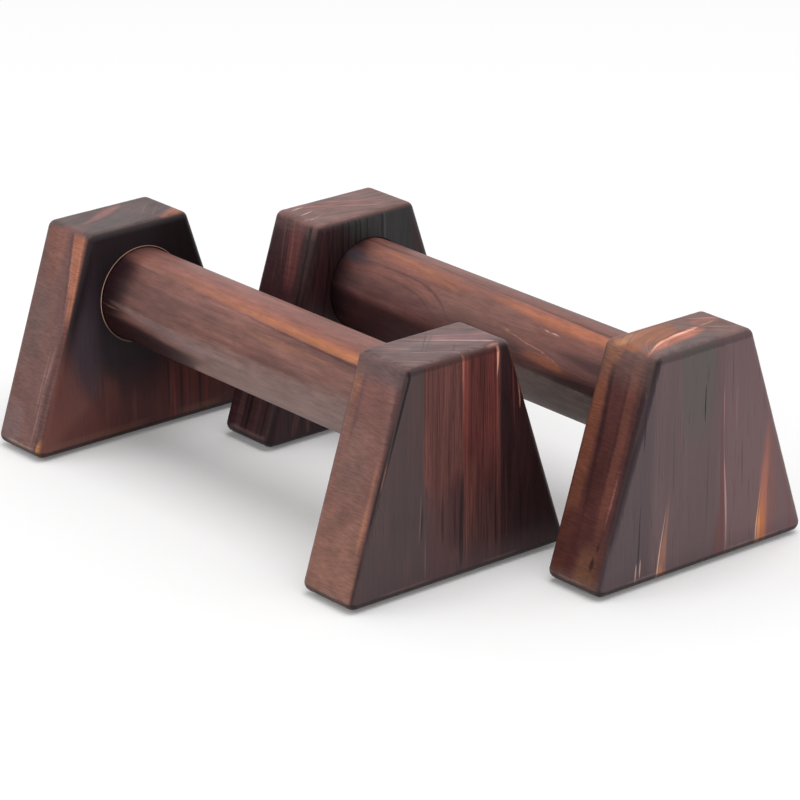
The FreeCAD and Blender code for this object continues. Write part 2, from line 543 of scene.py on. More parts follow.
def sole(bar, end):
    """A slab: loops round a rectangle with corner arcs, drawn in by the ease at the bottom and the top."""
    low, high = box_mm(f"{bar}_{end}_sole")
    centre = (low + high) / 2
    half = (high - low) / 2
    turn = np.linspace(0, 2 * np.pi, SOLE_POINTS, endpoint=False) + np.pi / SOLE_POINTS
    direction = np.stack([np.cos(turn), np.sin(turn)], -1)
    arm = np.sign(direction) * (half[:2] - SOLE_CORNER)
    rise = np.array([low[2], low[2], low[2] + SOLE_EASE, high[2] - SOLE_EASE, high[2], high[2]])
    eased = SOLE_CORNER - SOLE_EASE
    arc = np.array([0.0, eased, SOLE_CORNER, SOLE_CORNER, eased, 0.0])
    share = np.array([0.5, 1, 1, 1, 1, 0.5])
    flat = (arm + arc[:, None, None] * direction) * share[:, None, None] + centre[:2]
    points = np.concatenate([flat, np.broadcast_to(rise[:, None, None], flat.shape[:2] + (1,))], -1)
    poles = [(centre[0], centre[1], low[2]), (centre[0], centre[1], high[2])]
    return closed_grid_piece(f"{bar}_{end}_rubber_sole", points, *poles, {})


soles = {f"{bar}_{end}": sole(bar, end) for bar in ("left", "right") for end in ("front", "rear")}
print(len(soles), "soles")

# %% [markdown]
# ## Marks of the flame, with painted light and shade
# The wood is pine or fir that was scorched with a torch, brushed, and sealed with a satin finish. A torch
# scorches softwood unevenly: some streaks stay amber, some go black, and some go grey with fine ash.
# These marks tell one foot from another. They could be painted on an image, but an image has a fixed
# sharpness. Here each mark is written as a few stops along the grain: how far along, where across, how
# wide to each side, all in mm on its face, and how much it covers. The material joins the stops by curves.
# Fine ash fills the pores and veils the grain, so ash and the lines that cross it are laid over the grain,
# and on some faces so are painted highlights and painted reflections.

# %% Lists of marks
# Each mark: colour, softness of its edge in mm, stops (along, across, half width, cover)
FOOT_MARKS = {name: [] for name in feet}
# The marks laid over the grain: ash, and on some faces painted highlights and painted reflections
ASH_AND_SHEEN_MARKS = {name: [] for name in feet}
HANDLE_MARKS = {bar: [] for bar in handles}


def add_marks(piece_marks, face, marks):
    """Puts marks on one face of a piece, in the order in which they are laid over each other."""
    piece_marks.extend((face, *mark) for mark in marks)
    print(f"{face}: {len(marks)} marks, {len(piece_marks)} on this list so far")


print("lists for", len(FOOT_MARKS), "feet and", len(HANDLE_MARKS), "handles")

# %% [markdown]
# ## Marks on the left front foot
# This foot has the strongest drawing. Its outer face is grey with ash on the left, red-brown in the middle
# and nearly black on the right, and pale lines of bare wood run between. Each of these could be a material of
# its own, but scorching has no borders, so broad soft marks come first and fine lines go over them.

# %% Left front foot: outer face, 1 of 2
add_marks(FOOT_MARKS["left_front"], "outer", [
    ("#643f39", 1.6, [(36, -9.5, 12, 0), (60, -9.5, 11.6, 0.7), (118, -9.5, 11.6, 0.78)]),
    ("#5b2d29", 2, [(-1, 13.5, 12, 0.1), (34, 13.5, 11.5, 0.35), (62, 13.5, 11.5, 0.8),
                    (118, 13.5, 11, 0.9)]),
    ("#372224", 5, [(-1, 14, 13, 0.6), (30, 15, 12, 0.7), (52, 17, 9, 0.4), (74, 18, 6, 0)]),
    ("#6d4234", 2.5, [(10, 7.5, 3.5, 0), (30, 7.5, 4, 0.35), (50, 7.5, 4, 0.5), (66, 7, 4, 0)]),
    ("#241015", 2.5, [(-1, 50, 25, 0.55), (14, 50, 25.5, 0.88), (118, 50, 25.5, 0.9)]),
    ("#854438", 2, [(56, 3.6, 2.2, 0), (88, 3.8, 2.8, 0.55), (118, 4, 3, 0.6)]),
    ("#b97b68", 0.5, [(60, 2.4, 0.4, 0), (80, 2.4, 0.5, 0.2), (96, 2.3, 0.7, 0.45), (108, 2.3, 0.9, 0.7),
                      (118, 2.4, 1, 0.75)]),
    ("#2b1418", 0.6, [(66, 0.9, 0.5, 0), (88, 0.9, 0.7, 0.7), (118, 0.9, 0.7, 0.6)]),
    ("#d99e84", 0.5, [(98, 23.4, 0.3, 0), (104, 24, 0.6, 0.6), (109, 24.3, 0.8, 0.9),
                      (118, 24.2, 1, 0.95)]),
])

# %% Left front foot: outer face, 2 of 2
add_marks(FOOT_MARKS["left_front"], "outer", [
    ("#8c4438", 0.6, [(30, 23.8, 0.5, 0), (60, 24, 0.7, 0.4), (92, 24, 0.7, 0.6), (100, 24, 0.6, 0)]),
    ("#c47e6a", 0.5, [(80, 38.2, 0.5, 0), (86, 38, 0.7, 0.9), (92, 37.5, 0.7, 0.9), (97, 37, 0.5, 0)]),
    ("#733a33", 0.7, [(66, 35, 0.5, 0), (95, 34, 0.8, 0.6), (118, 33, 0.8, 0.6)]),
    ("#1b0b10", 0.6, [(2, 22.8, 0.6, 0.3), (30, 22.8, 0.9, 0.8), (64, 23, 0.6, 0.2), (78, 23, 0.5, 0)]),
    ("#2e1a1b", 0.7, [(60, -5, 0.6, 0), (85, -5, 0.9, 0.5), (112, -4.6, 0.6, 0.2)]),
    ("#2a1416", 0.7, [(52, 15, 0.6, 0), (80, 15, 0.9, 0.6), (110, 15.4, 0.6, 0.2)]),
    ("#1a090d", 0.8, [(8, 39, 0.8, 0), (26, 39, 1.3, 0.8), (50, 38.5, 0.8, 0)]),
    ("#4d2c2a", 0.8, [(10, 30, 0.6, 0), (30, 30, 0.9, 0.6), (60, 29.5, 0.6, 0)]),
])

# %% Left front foot: left side
add_marks(FOOT_MARKS["left_front"], "left", [
    ("#7e5b50", 12, [(-1, 0, 40, 0.75), (118, 0, 40, 0.75)]),
    ("#704a42", 6, [(84, -1, 14, 0), (97, -2, 16, 0.55), (109, -2, 16, 0.55), (118, -2, 16, 0.3)]),
    ("#745c51", 7, [(44, -4, 10, 0), (66, -3, 13, 0.45), (90, -3, 9, 0)]),
    ("#86624f", 8, [(-1, -2, 24, 0.55), (22, -2, 22, 0.55), (44, -2, 18, 0.25), (60, -2, 14, 0)]),
    ("#976a4b", 3, [(92, -15, 3, 0), (101, -14, 4.5, 0.45), (110, -13.5, 4.5, 0.35), (116, -13, 4, 0)]),
    ("#54383a", 1.6, [(70, -9.5, 1.4, 0), (90, -9, 2, 0.45), (106, -8.5, 1.8, 0.45), (114, -8, 1.4, 0)]),
    ("#a4704e", 2.2, [(24, 14.5, 1.4, 0), (38, 14.4, 2.2, 0.6), (60, 14.2, 2, 0.55), (76, 14, 1.4, 0)]),
    ("#4b3335", 3, [(-1, 19.5, 3, 0.4), (60, 18.6, 3.6, 0.7), (118, 17, 5, 0.85)]),
    ("#58453f", 1.6, [(-1, -18.6, 2.2, 0.6), (118, -17.6, 2.2, 0.6)]),
    # Greyer band near the top of the side: a painted sheen under the rounded top edge
    ("#5d504f", 8, [(104, 0, 34, 0), (112, 0, 34, 0.7), (118, 0, 34, 0.75)]),
    # Pale line low on the side: a painted highlight on the rounded bottom edge
    ("#a58b7a", 4, [(4.4, 2, 9, 0), (5.4, 2, 9, 0.35), (6.6, 2, 9, 0)]),
])

# %% Left front foot: top
add_marks(FOOT_MARKS["left_front"], "top", [
    ("#72605c", 14, [(-38, 0, 45, 0.75), (38, 0, 45, 0.75)]),
    ("#68605c", 5, [(-24, 4, 5, 0), (-8, -4, 8, 0.5), (4, -2, 7, 0.4), (20, 8, 5, 0)]),
    ("#8c6a69", 4, [(2, -10, 5, 0), (14, -2, 8, 0.6), (26, 6, 8, 0.6), (34, 10, 6, 0.3)]),
    ("#b79a94", 0.8, [(-10, -16, 0.6, 0.4), (2, -5, 0.8, 0.6), (12, 3.5, 1.1, 0.9), (23.5, 13.5, 1.3, 0.95),
                      (25, 15, 1, 0)]),
    ("#9a8580", 0.8, [(-21, -1.5, 0.6, 0), (-12, 5, 1, 0.7), (0, 14, 1.1, 0.7), (3, 16.5, 0.8, 0)]),
    ("#ab8d86", 0.7, [(6, -12, 0.4, 0), (20, 0, 0.7, 0.5), (31, 9, 0.6, 0)]),
    ("#463a39", 0.5, [(-13, 6, 0.4, 0), (-6, -1, 0.6, 0.75), (2, -9, 0.6, 0.8), (9, -16, 0.4, 0.4)]),
    ("#463a39", 0.4, [(-11, 7, 0.3, 0), (-4, 0, 0.5, 0.6), (6, -9, 0.4, 0.5), (11, -14, 0.3, 0)]),
    ("#463a39", 0.4, [(0, 14, 0.4, 0), (4, 10, 0.6, 0.8), (9, 5, 0.4, 0)]),
    ("#c98d83", 1.2, [(17, 18, 0.6, 0), (21.5, 18, 2, 0.9), (24, 17.5, 1.6, 0.9), (26, 17, 0.6, 0)]),
])

# %% Left front foot: inner face
add_marks(FOOT_MARKS["left_front"], "inner", [
    ("#54403f", 8, [(-1, 30, 30, 0.7), (60, 24, 20, 0.6), (118, 20, 10, 0.6)]),
    ("#6b3d35", 2, [(-1, -18, 13, 0.6), (118, -16, 12, 0.8)]),
    ("#261216", 4, [(-1, -48, 22, 0.8), (118, -40, 14, 0.85)]),
    ("#a8674f", 0.9, [(4, -4, 0.8, 0.5), (60, -3.4, 0.6, 0.2), (104, -3, 1.2, 0.8), (118, -3, 1.2, 0.8)]),
])

# %% Left front foot: right side
add_marks(FOOT_MARKS["left_front"], "right", [
    ("#6a4236", 10, [(-1, 0, 40, 0.6), (118, 0, 40, 0.6)]),
    ("#2c1517", 3, [(-1, 7, 3, 0.6), (60, 8, 5, 0.8), (118, 10, 4, 0.8)]),
    ("#96603c", 2.5, [(10, -8, 2, 0), (50, -7, 3.4, 0.6), (118, -5, 3, 0.5)]),
])

# %% Left front foot: ash and painted sheen on the outer face, 1 of 2
add_marks(ASH_AND_SHEEN_MARKS["left_front"], "outer", [
    ("#4a4445", 10, [(-1, -52, 40, 0.7), (40, -50, 37, 0.74), (64, -50, 34, 0.2), (118, -50, 34, 0)]),
    ("#504645", 2.6, [(40, -50, 29, 0), (62, -50, 29, 0.76), (118, -50, 29, 0.78)]),
    ("#513b3b", 8, [(-1, -8, 18, 0.75), (34, -8, 17, 0.65), (58, -8, 16, 0)]),
    # Greyer band low on the face: a painted reflection of the floor
    ("#493a3d", 20, [(-1, 0, 120, 0.55), (8, 0, 120, 0.4), (18, 0, 120, 0)]),
    ("#8a5147", 0.6, [(48, -20.8, 0.5, 0), (80, -20.8, 0.7, 0.6), (118, -20.6, 0.7, 0.5)]),
    ("#32191c", 4, [(14, -3, 4, 0), (26, -3, 6, 0.5), (44, -3, 6, 0.5), (60, -2, 4, 0)]),
    ("#1f0d12", 1, [(4, 0.6, 1.2, 0), (20, 0.8, 1.9, 0.8), (38, 1.1, 1.7, 0.85), (60, 1.6, 1, 0)]),
    ("#2a1519", 0.6, [(16, -3.2, 0.6, 0), (32, -3.1, 0.9, 0.7), (52, -2.8, 0.6, 0)]),
    ("#7a4a3c", 0.6, [(6, 4.4, 0.5, 0.2), (28, 4.4, 0.6, 0.7), (56, 4.3, 0.6, 0.6), (72, 4.2, 0.5, 0)]),
    ("#6b4038", 0.6, [(26, -16.6, 0.5, 0), (44, -16.4, 0.7, 0.5), (64, -16, 0.5, 0)]),
])

# %% Left front foot: ash and painted sheen on the outer face, 2 of 2
add_marks(ASH_AND_SHEEN_MARKS["left_front"], "outer", [
    ("#6f4a44", 0.6, [(52, -33, 0.4, 0), (76, -32.4, 0.6, 0.3), (104, -31, 0.4, 0)]),
    ("#2e1a1b", 0.8, [(20, -11, 0.8, 0), (34, -11, 1.2, 0.7), (50, -10.5, 0.7, 0)]),
    ("#7d6660", 0.5, [(24, -25.8, 0.4, 0), (34, -25.2, 0.6, 0.6), (44, -24.6, 0.5, 0.6),
                      (52, -24.2, 0.4, 0)]),
    ("#806a64", 0.5, [(6, -22, 0.4, 0), (16, -21.9, 0.5, 0.6), (30, -21.8, 0.4, 0.4), (40, -21.6, 0.3, 0)]),
    ("#0c0406", 0.5, [(20, -61.3, 0.5, 0), (50, -51.4, 0.6, 0.25), (76, -42.8, 0.7, 0.7),
                      (96, -36.2, 0.9, 0.9), (112, -30.8, 0.9, 0.9)]),
    ("#120809", 20, [(112.6, 0, 120, 0), (114.2, 0, 120, 0.5), (115.6, 0, 120, 0)]),
    ("#a3796b", 0.6, [(58, -49, 0.4, 0), (63, -47.6, 0.6, 0.6), (68, -46, 0.6, 0.55), (74, -44, 0.3, 0)]),
    # Pale lines low on the face: a painted highlight on the rounded bottom edge
    ("#7f675e", 8, [(4.4, -34, 18, 0), (5.4, -34, 18, 0.3), (6.4, -34, 18, 0)]),
    ("#7f675e", 8, [(4.4, 26, 14, 0), (5.4, 26, 14, 0.25), (6.4, 26, 14, 0)]),
    ("#1d1416", 0.5, [(26, -24.4, 0.4, 0), (36, -24, 0.6, 0.8), (47, -23.4, 0.4, 0)]),
])

# %% [markdown]
# ## Marks on the right front foot
# Ash lies over nearly all of the outer face, and amber wood shows through it in two places near the floor.
# The ash could be mixed in as a grey noise, but here it is a thin even veil with a few lines across it.
# The top keeps one bright streak where the flame passed too fast to char it.

# %% Right front foot: left side, 1 of 2
add_marks(FOOT_MARKS["right_front"], "left", [
    ("#54302a", 12, [(-1, 0, 45, 0.85), (118, 0, 45, 0.85)]),
    ("#7c4f3a", 4, [(-1, -12.5, 6.5, 0.25), (24, -12.5, 6.5, 0.35), (50, -12.6, 6.5, 0.7),
                    (90, -13, 6, 0.8), (118, -13, 5.5, 0.7)]),
    ("#47211f", 4, [(2, -8, 9, 0.55), (24, -9, 9, 0.5), (42, -10, 6, 0)]),
    ("#2a1415", 2, [(24, -3.2, 1.6, 0), (46, -4, 2.2, 0.55), (76, -5.4, 2.6, 0.75), (96, -7.2, 2.4, 0.8),
                    (108, -8.4, 2.2, 0.4), (118, -9.2, 1.8, 0.1)]),
    ("#452623", 5, [(18, 1, 5, 0), (50, 0.6, 6.5, 0.65), (90, -0.6, 6, 0.5), (112, -1, 5, 0.3)]),
    ("#724739", 3, [(22, 9, 3, 0.2), (55, 9, 4.4, 0.65), (100, 8, 4.4, 0.65), (118, 8, 4, 0.5)]),
    ("#3a1d1e", 1.4, [(40, 5, 1, 0), (64, 5, 1.6, 0.5), (96, 4, 1.6, 0.55), (114, 3.4, 1.2, 0.2)]),
    ("#93665a", 1.2, [(32, 12.2, 0.8, 0), (48, 12.6, 1.2, 0.65), (64, 12.8, 0.8, 0)]),
])

# %% Right front foot: left side, 2 of 2
add_marks(FOOT_MARKS["right_front"], "left", [
    ("#281419", 2.2, [(8, 17, 2, 0.4), (60, 16.6, 2.8, 0.85), (118, 15.8, 3.2, 0.92)]),
    ("#765239", 5, [(-1, 7, 9, 0.8), (12, 7, 9, 0.7), (27, 8, 7, 0)]),
    ("#190a0c", 1, [(13, 10, 0.8, 0), (17, 10, 1.8, 0.8), (21, 10, 0.8, 0)]),
    ("#190a0c", 0.8, [(22.5, 11.5, 0.5, 0), (25, 11.5, 1.1, 0.7), (27.5, 11.5, 0.5, 0)]),
    # Greyer band low on the side: a painted reflection of the floor
    ("#77655a", 10, [(-1, 0, 40, 0.5), (6, 0, 40, 0.3), (11, 0, 40, 0)]),
    # Greyer band near the top of the side: a painted sheen under the rounded top edge
    ("#74625a", 8, [(96, 0, 34, 0), (108, 0, 34, 0.35), (118, 0, 34, 0.6)]),
    ("#986848", 4, [(100, -12, 3, 0), (111, -10, 6, 0.45), (118, -9, 8, 0.55)]),
    # Pale line low on the side: a painted highlight on the rounded bottom edge
    ("#b09684", 4, [(4.4, -2, 10, 0), (5.4, -2, 10, 0.35), (6.6, -2, 10, 0)]),
])

# %% Right front foot: top
add_marks(FOOT_MARKS["right_front"], "top", [
    ("#785b50", 14, [(-38, 0, 45, 0.75), (38, 0, 45, 0.75)]),
    ("#966040", 7, [(-36, -6, 14, 0.85), (-8, -9, 14, 0.8), (3, -12, 10, 0.6), (9, -14, 6, 0)]),
    ("#b78a62", 4, [(-34, -10, 3, 0.4), (-28, -9.5, 5.5, 0.7), (-20, -11, 4.5, 0.4), (-12, -12, 3, 0)]),
    ("#a26a5a", 4, [(12, -6, 3, 0), (18, -5, 6, 0.7), (24, -4, 5, 0.6), (30, -3, 3, 0)]),
    ("#695d5a", 3, [(-34, 20, 5, 0.8), (-10, 14, 6, 0.8), (8, 12, 7, 0.7), (20, 15, 5, 0.4),
                    (34, 18, 5, 0.4)]),
    ("#b3735a", 4, [(-30, 11, 2.4, 0.6), (-14, 6.5, 5, 0.9), (0, 3.8, 6, 0.95), (10, 2.8, 4.5, 0.7),
                    (15, 2.5, 3, 0)]),
    ("#e9ae90", 1.2, [(-31, 12, 0.6, 0.5), (-20, 5.6, 1.3, 0.95), (-6, 1.8, 1.7, 0.98), (6, 0.2, 1.6, 0.9),
                      (13, -0.6, 1, 0)]),
    ("#6a3b28", 0.8, [(-22, 3.4, 0.5, 0), (-12, 1.4, 0.8, 0.8), (0, -1.4, 0.8, 0.8), (8, -2.6, 0.5, 0)]),
    ("#5d5052", 3, [(4, -14, 2, 0.5), (9, -8, 4, 0.8), (12, -3, 2, 0.4), (14, 0, 1, 0)]),
    ("#b29a92", 0.8, [(13, -2, 0.5, 0), (18, 3, 0.8, 0.7), (27, 10.5, 0.7, 0.4)]),
    ("#b29a92", 0.8, [(15, -13, 0.5, 0.4), (22, -8.6, 0.9, 0.8), (30, -3.6, 0.7, 0.4)]),
    ("#c9a692", 0.8, [(13, -1.2, 0.5, 0), (19, -1.4, 0.9, 0.7), (26, -2.6, 0.5, 0)]),
])

# %% Right front foot: inner face
add_marks(FOOT_MARKS["right_front"], "inner", [
    ("#5f4b4b", 10, [(-1, 0, 80, 0.7), (118, 0, 60, 0.7)]),
    ("#6e3f33", 3, [(-1, 26, 9, 0.6), (60, 22, 8, 0.7), (118, 18, 6, 0.7)]),
    ("#2b1b1d", 3, [(-1, -36, 8, 0.7), (60, -33, 7, 0.8), (118, -26, 5, 0.8)]),
    ("#b57a52", 1.4, [(2, 8, 1.8, 0.8), (30, 7.6, 1.2, 0.7), (50, 7, 0.8, 0)]),
])

# %% Right front foot: right side
add_marks(FOOT_MARKS["right_front"], "right", [
    ("#654139", 10, [(-1, 0, 40, 0.6), (118, 0, 40, 0.6)]),
    ("#8e5a3a", 2.5, [(-1, 6, 4, 0.7), (60, 5, 3, 0.6), (118, 3, 2.4, 0.5)]),
    ("#291316", 2, [(-1, -6, 2.4, 0.6), (60, -5, 3, 0.8), (118, -4, 2, 0.7)]),
])

# %% Right front foot: ash on the outer face, 1 of 3
add_marks(ASH_AND_SHEEN_MARKS["right_front"], "outer", [
    ("#685c5d", 14, [(-2, 0, 120, 0.68), (120, 0, 120, 0.68)]),
    ("#50474b", 6, [(-1, -60, 28, 0.65), (60, -50, 19, 0.65), (118, -38, 10, 0.45)]),
    ("#745e5e", 10, [(-1, 42, 34, 0.7), (60, 36, 28, 0.7), (118, 26, 18, 0.5)]),
    ("#5a5854", 3, [(64, -5, 8, 0), (82, -5, 11, 0.75), (96, -5, 12, 0.9), (118, -5, 12, 0.9)]),
    ("#65403d", 1.2, [(2, 13, 1.8, 0.3), (30, 12.8, 2, 0.65), (60, 12, 1.6, 0.55), (94, 11.6, 1.2, 0.3)]),
    ("#b9958c", 0.5, [(-1, 15.4, 0.6, 0.15), (14, 15.6, 0.8, 0.5), (30, 15, 0.8, 0.85),
                      (44, 14.1, 0.7, 0.85), (54, 13.4, 0.5, 0.5), (62, 13.1, 0.4, 0)]),
    ("#a07f77", 0.5, [(56, 13.3, 0.4, 0), (70, 12.9, 0.5, 0.5), (82, 12.7, 0.6, 0.7), (94, 12.5, 0.4, 0.2),
                      (112, 12.3, 0.4, 0)]),
    ("#98705f", 2.4, [(2, -27.6, 3.6, 0.9), (12, -26.8, 3.2, 0.9), (22, -25.6, 2.6, 0.85),
                      (34, -24, 1.7, 0.75), (50, -22.2, 1, 0)]),
    ("#d08b4f", 1.2, [(2, -28.6, 2.8, 0.95), (6, -28.4, 2.2, 0.75), (11, -28, 1.4, 0)]),
    ("#e3c3ac", 0.5, [(2, -30.7, 0.7, 0.95), (10, -29.7, 0.6, 0.95), (20, -28.1, 0.5, 0.75),
                      (32, -25.8, 0.4, 0.5), (42, -24, 0.3, 0)]),
    ("#825a52", 8, [(0, 43, 9, 0.55), (20, 44, 9, 0.65), (40, 44.5, 8, 0.65), (60, 45, 6, 0.45),
                    (78, 45.5, 4, 0)]),
    ("#b0735d", 4, [(4, 41, 4.4, 0.3), (20, 41, 4.7, 0.7), (34, 41, 4.2, 0.75), (48, 42, 3.8, 0.5),
                    (70, 43.5, 3, 0)]),
])

# %% Right front foot: ash on the outer face, 2 of 3
add_marks(ASH_AND_SHEEN_MARKS["right_front"], "outer", [
    ("#c27c48", 3, [(2, 39.4, 4.4, 0.8), (10, 39.4, 4.2, 0.88), (18, 39.4, 3.4, 0.75), (27, 39.8, 2.6, 0.5),
                    (36, 40.4, 1.8, 0)]),
    ("#dd9d5e", 1.2, [(3, 37.6, 1.6, 0.8), (10, 37.9, 1.8, 0.85), (17, 38.2, 1.3, 0.6), (25, 39, 0.8, 0)]),
    ("#1d1417", 0.5, [(70, -40, 0.4, 0), (80, -39.4, 0.7, 0.8), (92, -38.6, 0.4, 0)]),
    ("#120809", 20, [(112.6, 0, 120, 0), (114.2, 0, 120, 0.4), (115.6, 0, 120, 0)]),
    ("#e6b398", 0.5, [(3, 35.9, 0.5, 0.8), (12, 36.2, 0.6, 0.9), (20, 37.1, 0.5, 0.75),
                      (30, 38.4, 0.4, 0.5), (40, 39.8, 0.3, 0)]),
    ("#96786f", 0.6, [(62, 21, 0.4, 0), (80, 21, 0.7, 0.4), (96, 21.5, 0.4, 0)]),
    ("#2d2023", 0.5, [(32, 26, 0.5, 0), (52, 25.6, 0.6, 0.5), (64, 25.5, 0.4, 0.1), (72, 25.4, 0.4, 0)]),
    ("#170d10", 0.4, [(76, 0, 0.4, 0), (84, 0, 0.6, 0.95), (91, 0.2, 0.5, 0.9), (96, 0.3, 0.4, 0)]),
    ("#241a1d", 0.6, [(8, -43.6, 0.5, 0), (20, -42.6, 0.8, 0.85), (36, -42, 0.6, 0.7), (50, -41, 0.4, 0)]),
    ("#d3b59b", 0.4, [(4, -44.8, 0.4, 0), (9, -44.4, 0.6, 0.8), (14, -44, 0.4, 0)]),
    ("#d3b59b", 0.4, [(6, -41.8, 0.4, 0), (10, -41.6, 0.6, 0.8), (16, -41.2, 0.4, 0)]),
    ("#443235", 0.6, [(36, -20.8, 0.4, 0), (60, -20.4, 0.7, 0.35), (94, -19.8, 0.5, 0)]),
])

# %% Right front foot: ash and painted sheen on the outer face, 3 of 3
add_marks(ASH_AND_SHEEN_MARKS["right_front"], "outer", [
    ("#443235", 0.6, [(12, 2, 0.5, 0), (40, 2.4, 0.7, 0.45), (72, 3, 0.5, 0)]),
    ("#3f2d2f", 0.6, [(74, 18.6, 0.5, 0), (95, 18.2, 0.7, 0.35), (116, 18, 0.6, 0.25)]),
    ("#8a5a50", 0.6, [(94, 27, 0.4, 0), (106, 25.6, 0.6, 0.3), (118, 24.4, 0.6, 0.3)]),
    # Greyer band low on the face: a painted reflection of the floor
    ("#4c3c3f", 20, [(-1, 0, 120, 0.4), (7, 0, 120, 0.25), (14, 0, 120, 0)]),
    ("#6d4440", 3.5, [(-1, 10.5, 4.5, 0.6), (14, 10.8, 4.5, 0.65), (28, 11.4, 3.5, 0.35), (40, 12, 3, 0)]),
    ("#2a1b20", 1.6, [(20, -62, 2.4, 0), (52, -51.6, 2.4, 0.6), (86, -40.6, 3.2, 0.8),
                      (118, -31, 3.6, 0.85)]),
    ("#70463f", 5, [(-1, 62, 5, 0.35), (26, 57, 4, 0.3), (50, 50, 3, 0.1), (70, 46, 3, 0)]),
    ("#d8cfcd", 0.4, [(78, -44.9, 0.3, 0), (79.5, -44.6, 0.6, 0.9), (81, -44.3, 0.3, 0)]),
    ("#c9bdbb", 0.4, [(97, -37.6, 0.3, 0), (100, -37.2, 0.5, 0.8), (104, -36.4, 0.3, 0)]),
    ("#c9bdbb", 0.4, [(107, -35.4, 0.3, 0), (109, -34.8, 0.5, 0.8), (112, -34, 0.3, 0)]),
    # Pale lines low on the face: a painted highlight on the rounded bottom edge
    ("#a08a7e", 8, [(4.4, -36, 16, 0), (5.4, -36, 16, 0.2), (6.4, -36, 16, 0)]),
    ("#a08a7e", 8, [(4.4, 34, 20, 0), (5.4, 34, 20, 0.22), (6.4, 34, 20, 0)]),
])

# %% [markdown]
# ## Marks on the left rear foot
# The flame was held on the inner face, so it is black round the handle and red-brown near the floor.
# A smooth fade up the face would look sprayed, so the dark is built from wide marks with a softness of their
# own. The slanted left side stays brown, with amber streaks that curve towards the top.

# %% Left rear foot: left side, 1 of 2
add_marks(FOOT_MARKS["left_rear"], "left", [
    ("#74554d", 12, [(-1, 0, 45, 0.78), (118, 0, 45, 0.76)]),
    ("#6d5e5c", 5, [(-1, -8, 11, 0.55), (12, -8, 10, 0.55), (28, -9, 8, 0)]),
    ("#68564f", 6, [(40, -10, 6, 0), (66, -8, 10, 0.55), (94, -10, 6, 0)]),
    ("#875a48", 5, [(84, -5, 5, 0), (100, -5, 9, 0.5), (118, -6, 10, 0.55)]),
    ("#5a383a", 1.6, [(42, 15, 1, 0), (66, 13.4, 1.3, 0.5), (82, 11, 1.6, 0.65), (98, 7.8, 1.7, 0.7),
                      (116, 4.6, 1.8, 0.7)]),
    ("#a86c4f", 2.4, [(50, 18, 1.5, 0), (66, 17.2, 2.2, 0.3), (80, 16, 3.2, 0.65), (96, 13.8, 4.6, 0.85),
                      (116, 11, 5.6, 0.85)]),
    ("#c48f6c", 0.8, [(78, 12.8, 0.5, 0), (90, 11.4, 0.8, 0.4), (102, 9.2, 0.8, 0.45),
                      (116, 6.8, 0.7, 0.3)]),
])

# %% Left rear foot: left side, 2 of 2
add_marks(FOOT_MARKS["left_rear"], "left", [
    ("#c48f6c", 0.8, [(60, 18, 0.5, 0), (78, 17.2, 0.8, 0.4), (96, 16, 0.8, 0.45), (116, 14.6, 0.7, 0.2)]),
    ("#9d7b71", 0.9, [(3, 10, 0.7, 0.2), (22, 10.6, 1, 0.5), (34, 10.6, 0.8, 0.2), (46, 11.4, 1, 0.5),
                      (62, 12.6, 0.6, 0)]),
    ("#95746b", 0.7, [(18, 8, 0.6, 0), (40, 8.3, 0.8, 0.5), (60, 9, 0.6, 0)]),
    ("#472627", 1.4, [(3, 14.6, 1.6, 0.4), (30, 14.6, 2.2, 0.65), (66, 16, 1.8, 0.4), (80, 17, 1.2, 0)]),
    ("#4c3034", 2, [(-1, -18, 2.4, 0.6), (60, -17.4, 2.4, 0.6), (118, -16.5, 2.4, 0.5)]),
    ("#c08a52", 1.6, [(-1, 17.5, 3.4, 0.85), (6, 17.5, 3.2, 0.8), (13, 18, 2.2, 0)]),
    # Pale line low on the side: a painted highlight on the rounded bottom edge
    ("#c5a792", 4, [(4.4, 1, 13, 0), (5.4, 1, 13, 0.5), (6.6, 1, 13, 0)]),
])

# %% Left rear foot: top
add_marks(FOOT_MARKS["left_rear"], "top", [
    ("#5a504d", 14, [(-38, 0, 45, 0.8), (38, 0, 45, 0.8)]),
    ("#4a4946", 5, [(-28, 12, 4, 0), (-14, 7, 8, 0.7), (0, 2, 7, 0.6), (12, -3, 4, 0)]),
    ("#8f655f", 2.8, [(-26, 1.5, 1.8, 0), (-14, -2.4, 3.4, 0.7), (-4, -7, 4.6, 0.85), (6, -11, 3.4, 0.7),
                      (12, -13, 2, 0)]),
    ("#7d5a52", 4, [(-38, 4, 12, 0.8), (-32, 4, 11, 0.7), (-27, 3, 9, 0)]),
    ("#94644f", 4, [(14, 16, 3, 0), (22, 15, 6, 0.8), (32, 11, 7, 0.8)]),
    ("#8c7671", 0.8, [(2, 15, 0.6, 0), (12, 5, 0.9, 0.3), (24, -7, 0.7, 0.15)]),
    ("#8c7671", 0.8, [(10, 16, 0.6, 0), (18, 7, 0.9, 0.35), (27, -1, 0.7, 0.15)]),
])

# %% Left rear foot: outer face
add_marks(FOOT_MARKS["left_rear"], "outer", [
    ("#573733", 8, [(-1, 0, 90, 0.5), (118, 0, 60, 0.5)]),
    ("#2a1619", 4, [(-1, 30, 12, 0.8), (60, 27, 10, 0.8), (118, 21, 6, 0.85)]),
    ("#7d4c3e", 2.5, [(-1, -16, 6, 0.6), (60, -15, 5, 0.7), (118, -14, 4, 0.6)]),
    ("#a5694c", 0.9, [(20, 6, 0.6, 0), (60, 6.4, 1, 0.6), (118, 7, 1, 0.8)]),
])

# %% Left rear foot: right side
add_marks(FOOT_MARKS["left_rear"], "right", [
    ("#5c3b34", 10, [(-1, 0, 40, 0.6), (118, 0, 40, 0.6)]),
    ("#291417", 2.5, [(-1, 4, 4, 0.7), (118, 7, 4, 0.8)]),
    ("#9a6040", 2, [(4, -9, 2.4, 0.6), (60, -8, 2, 0.5), (118, -7, 2, 0.4)]),
])

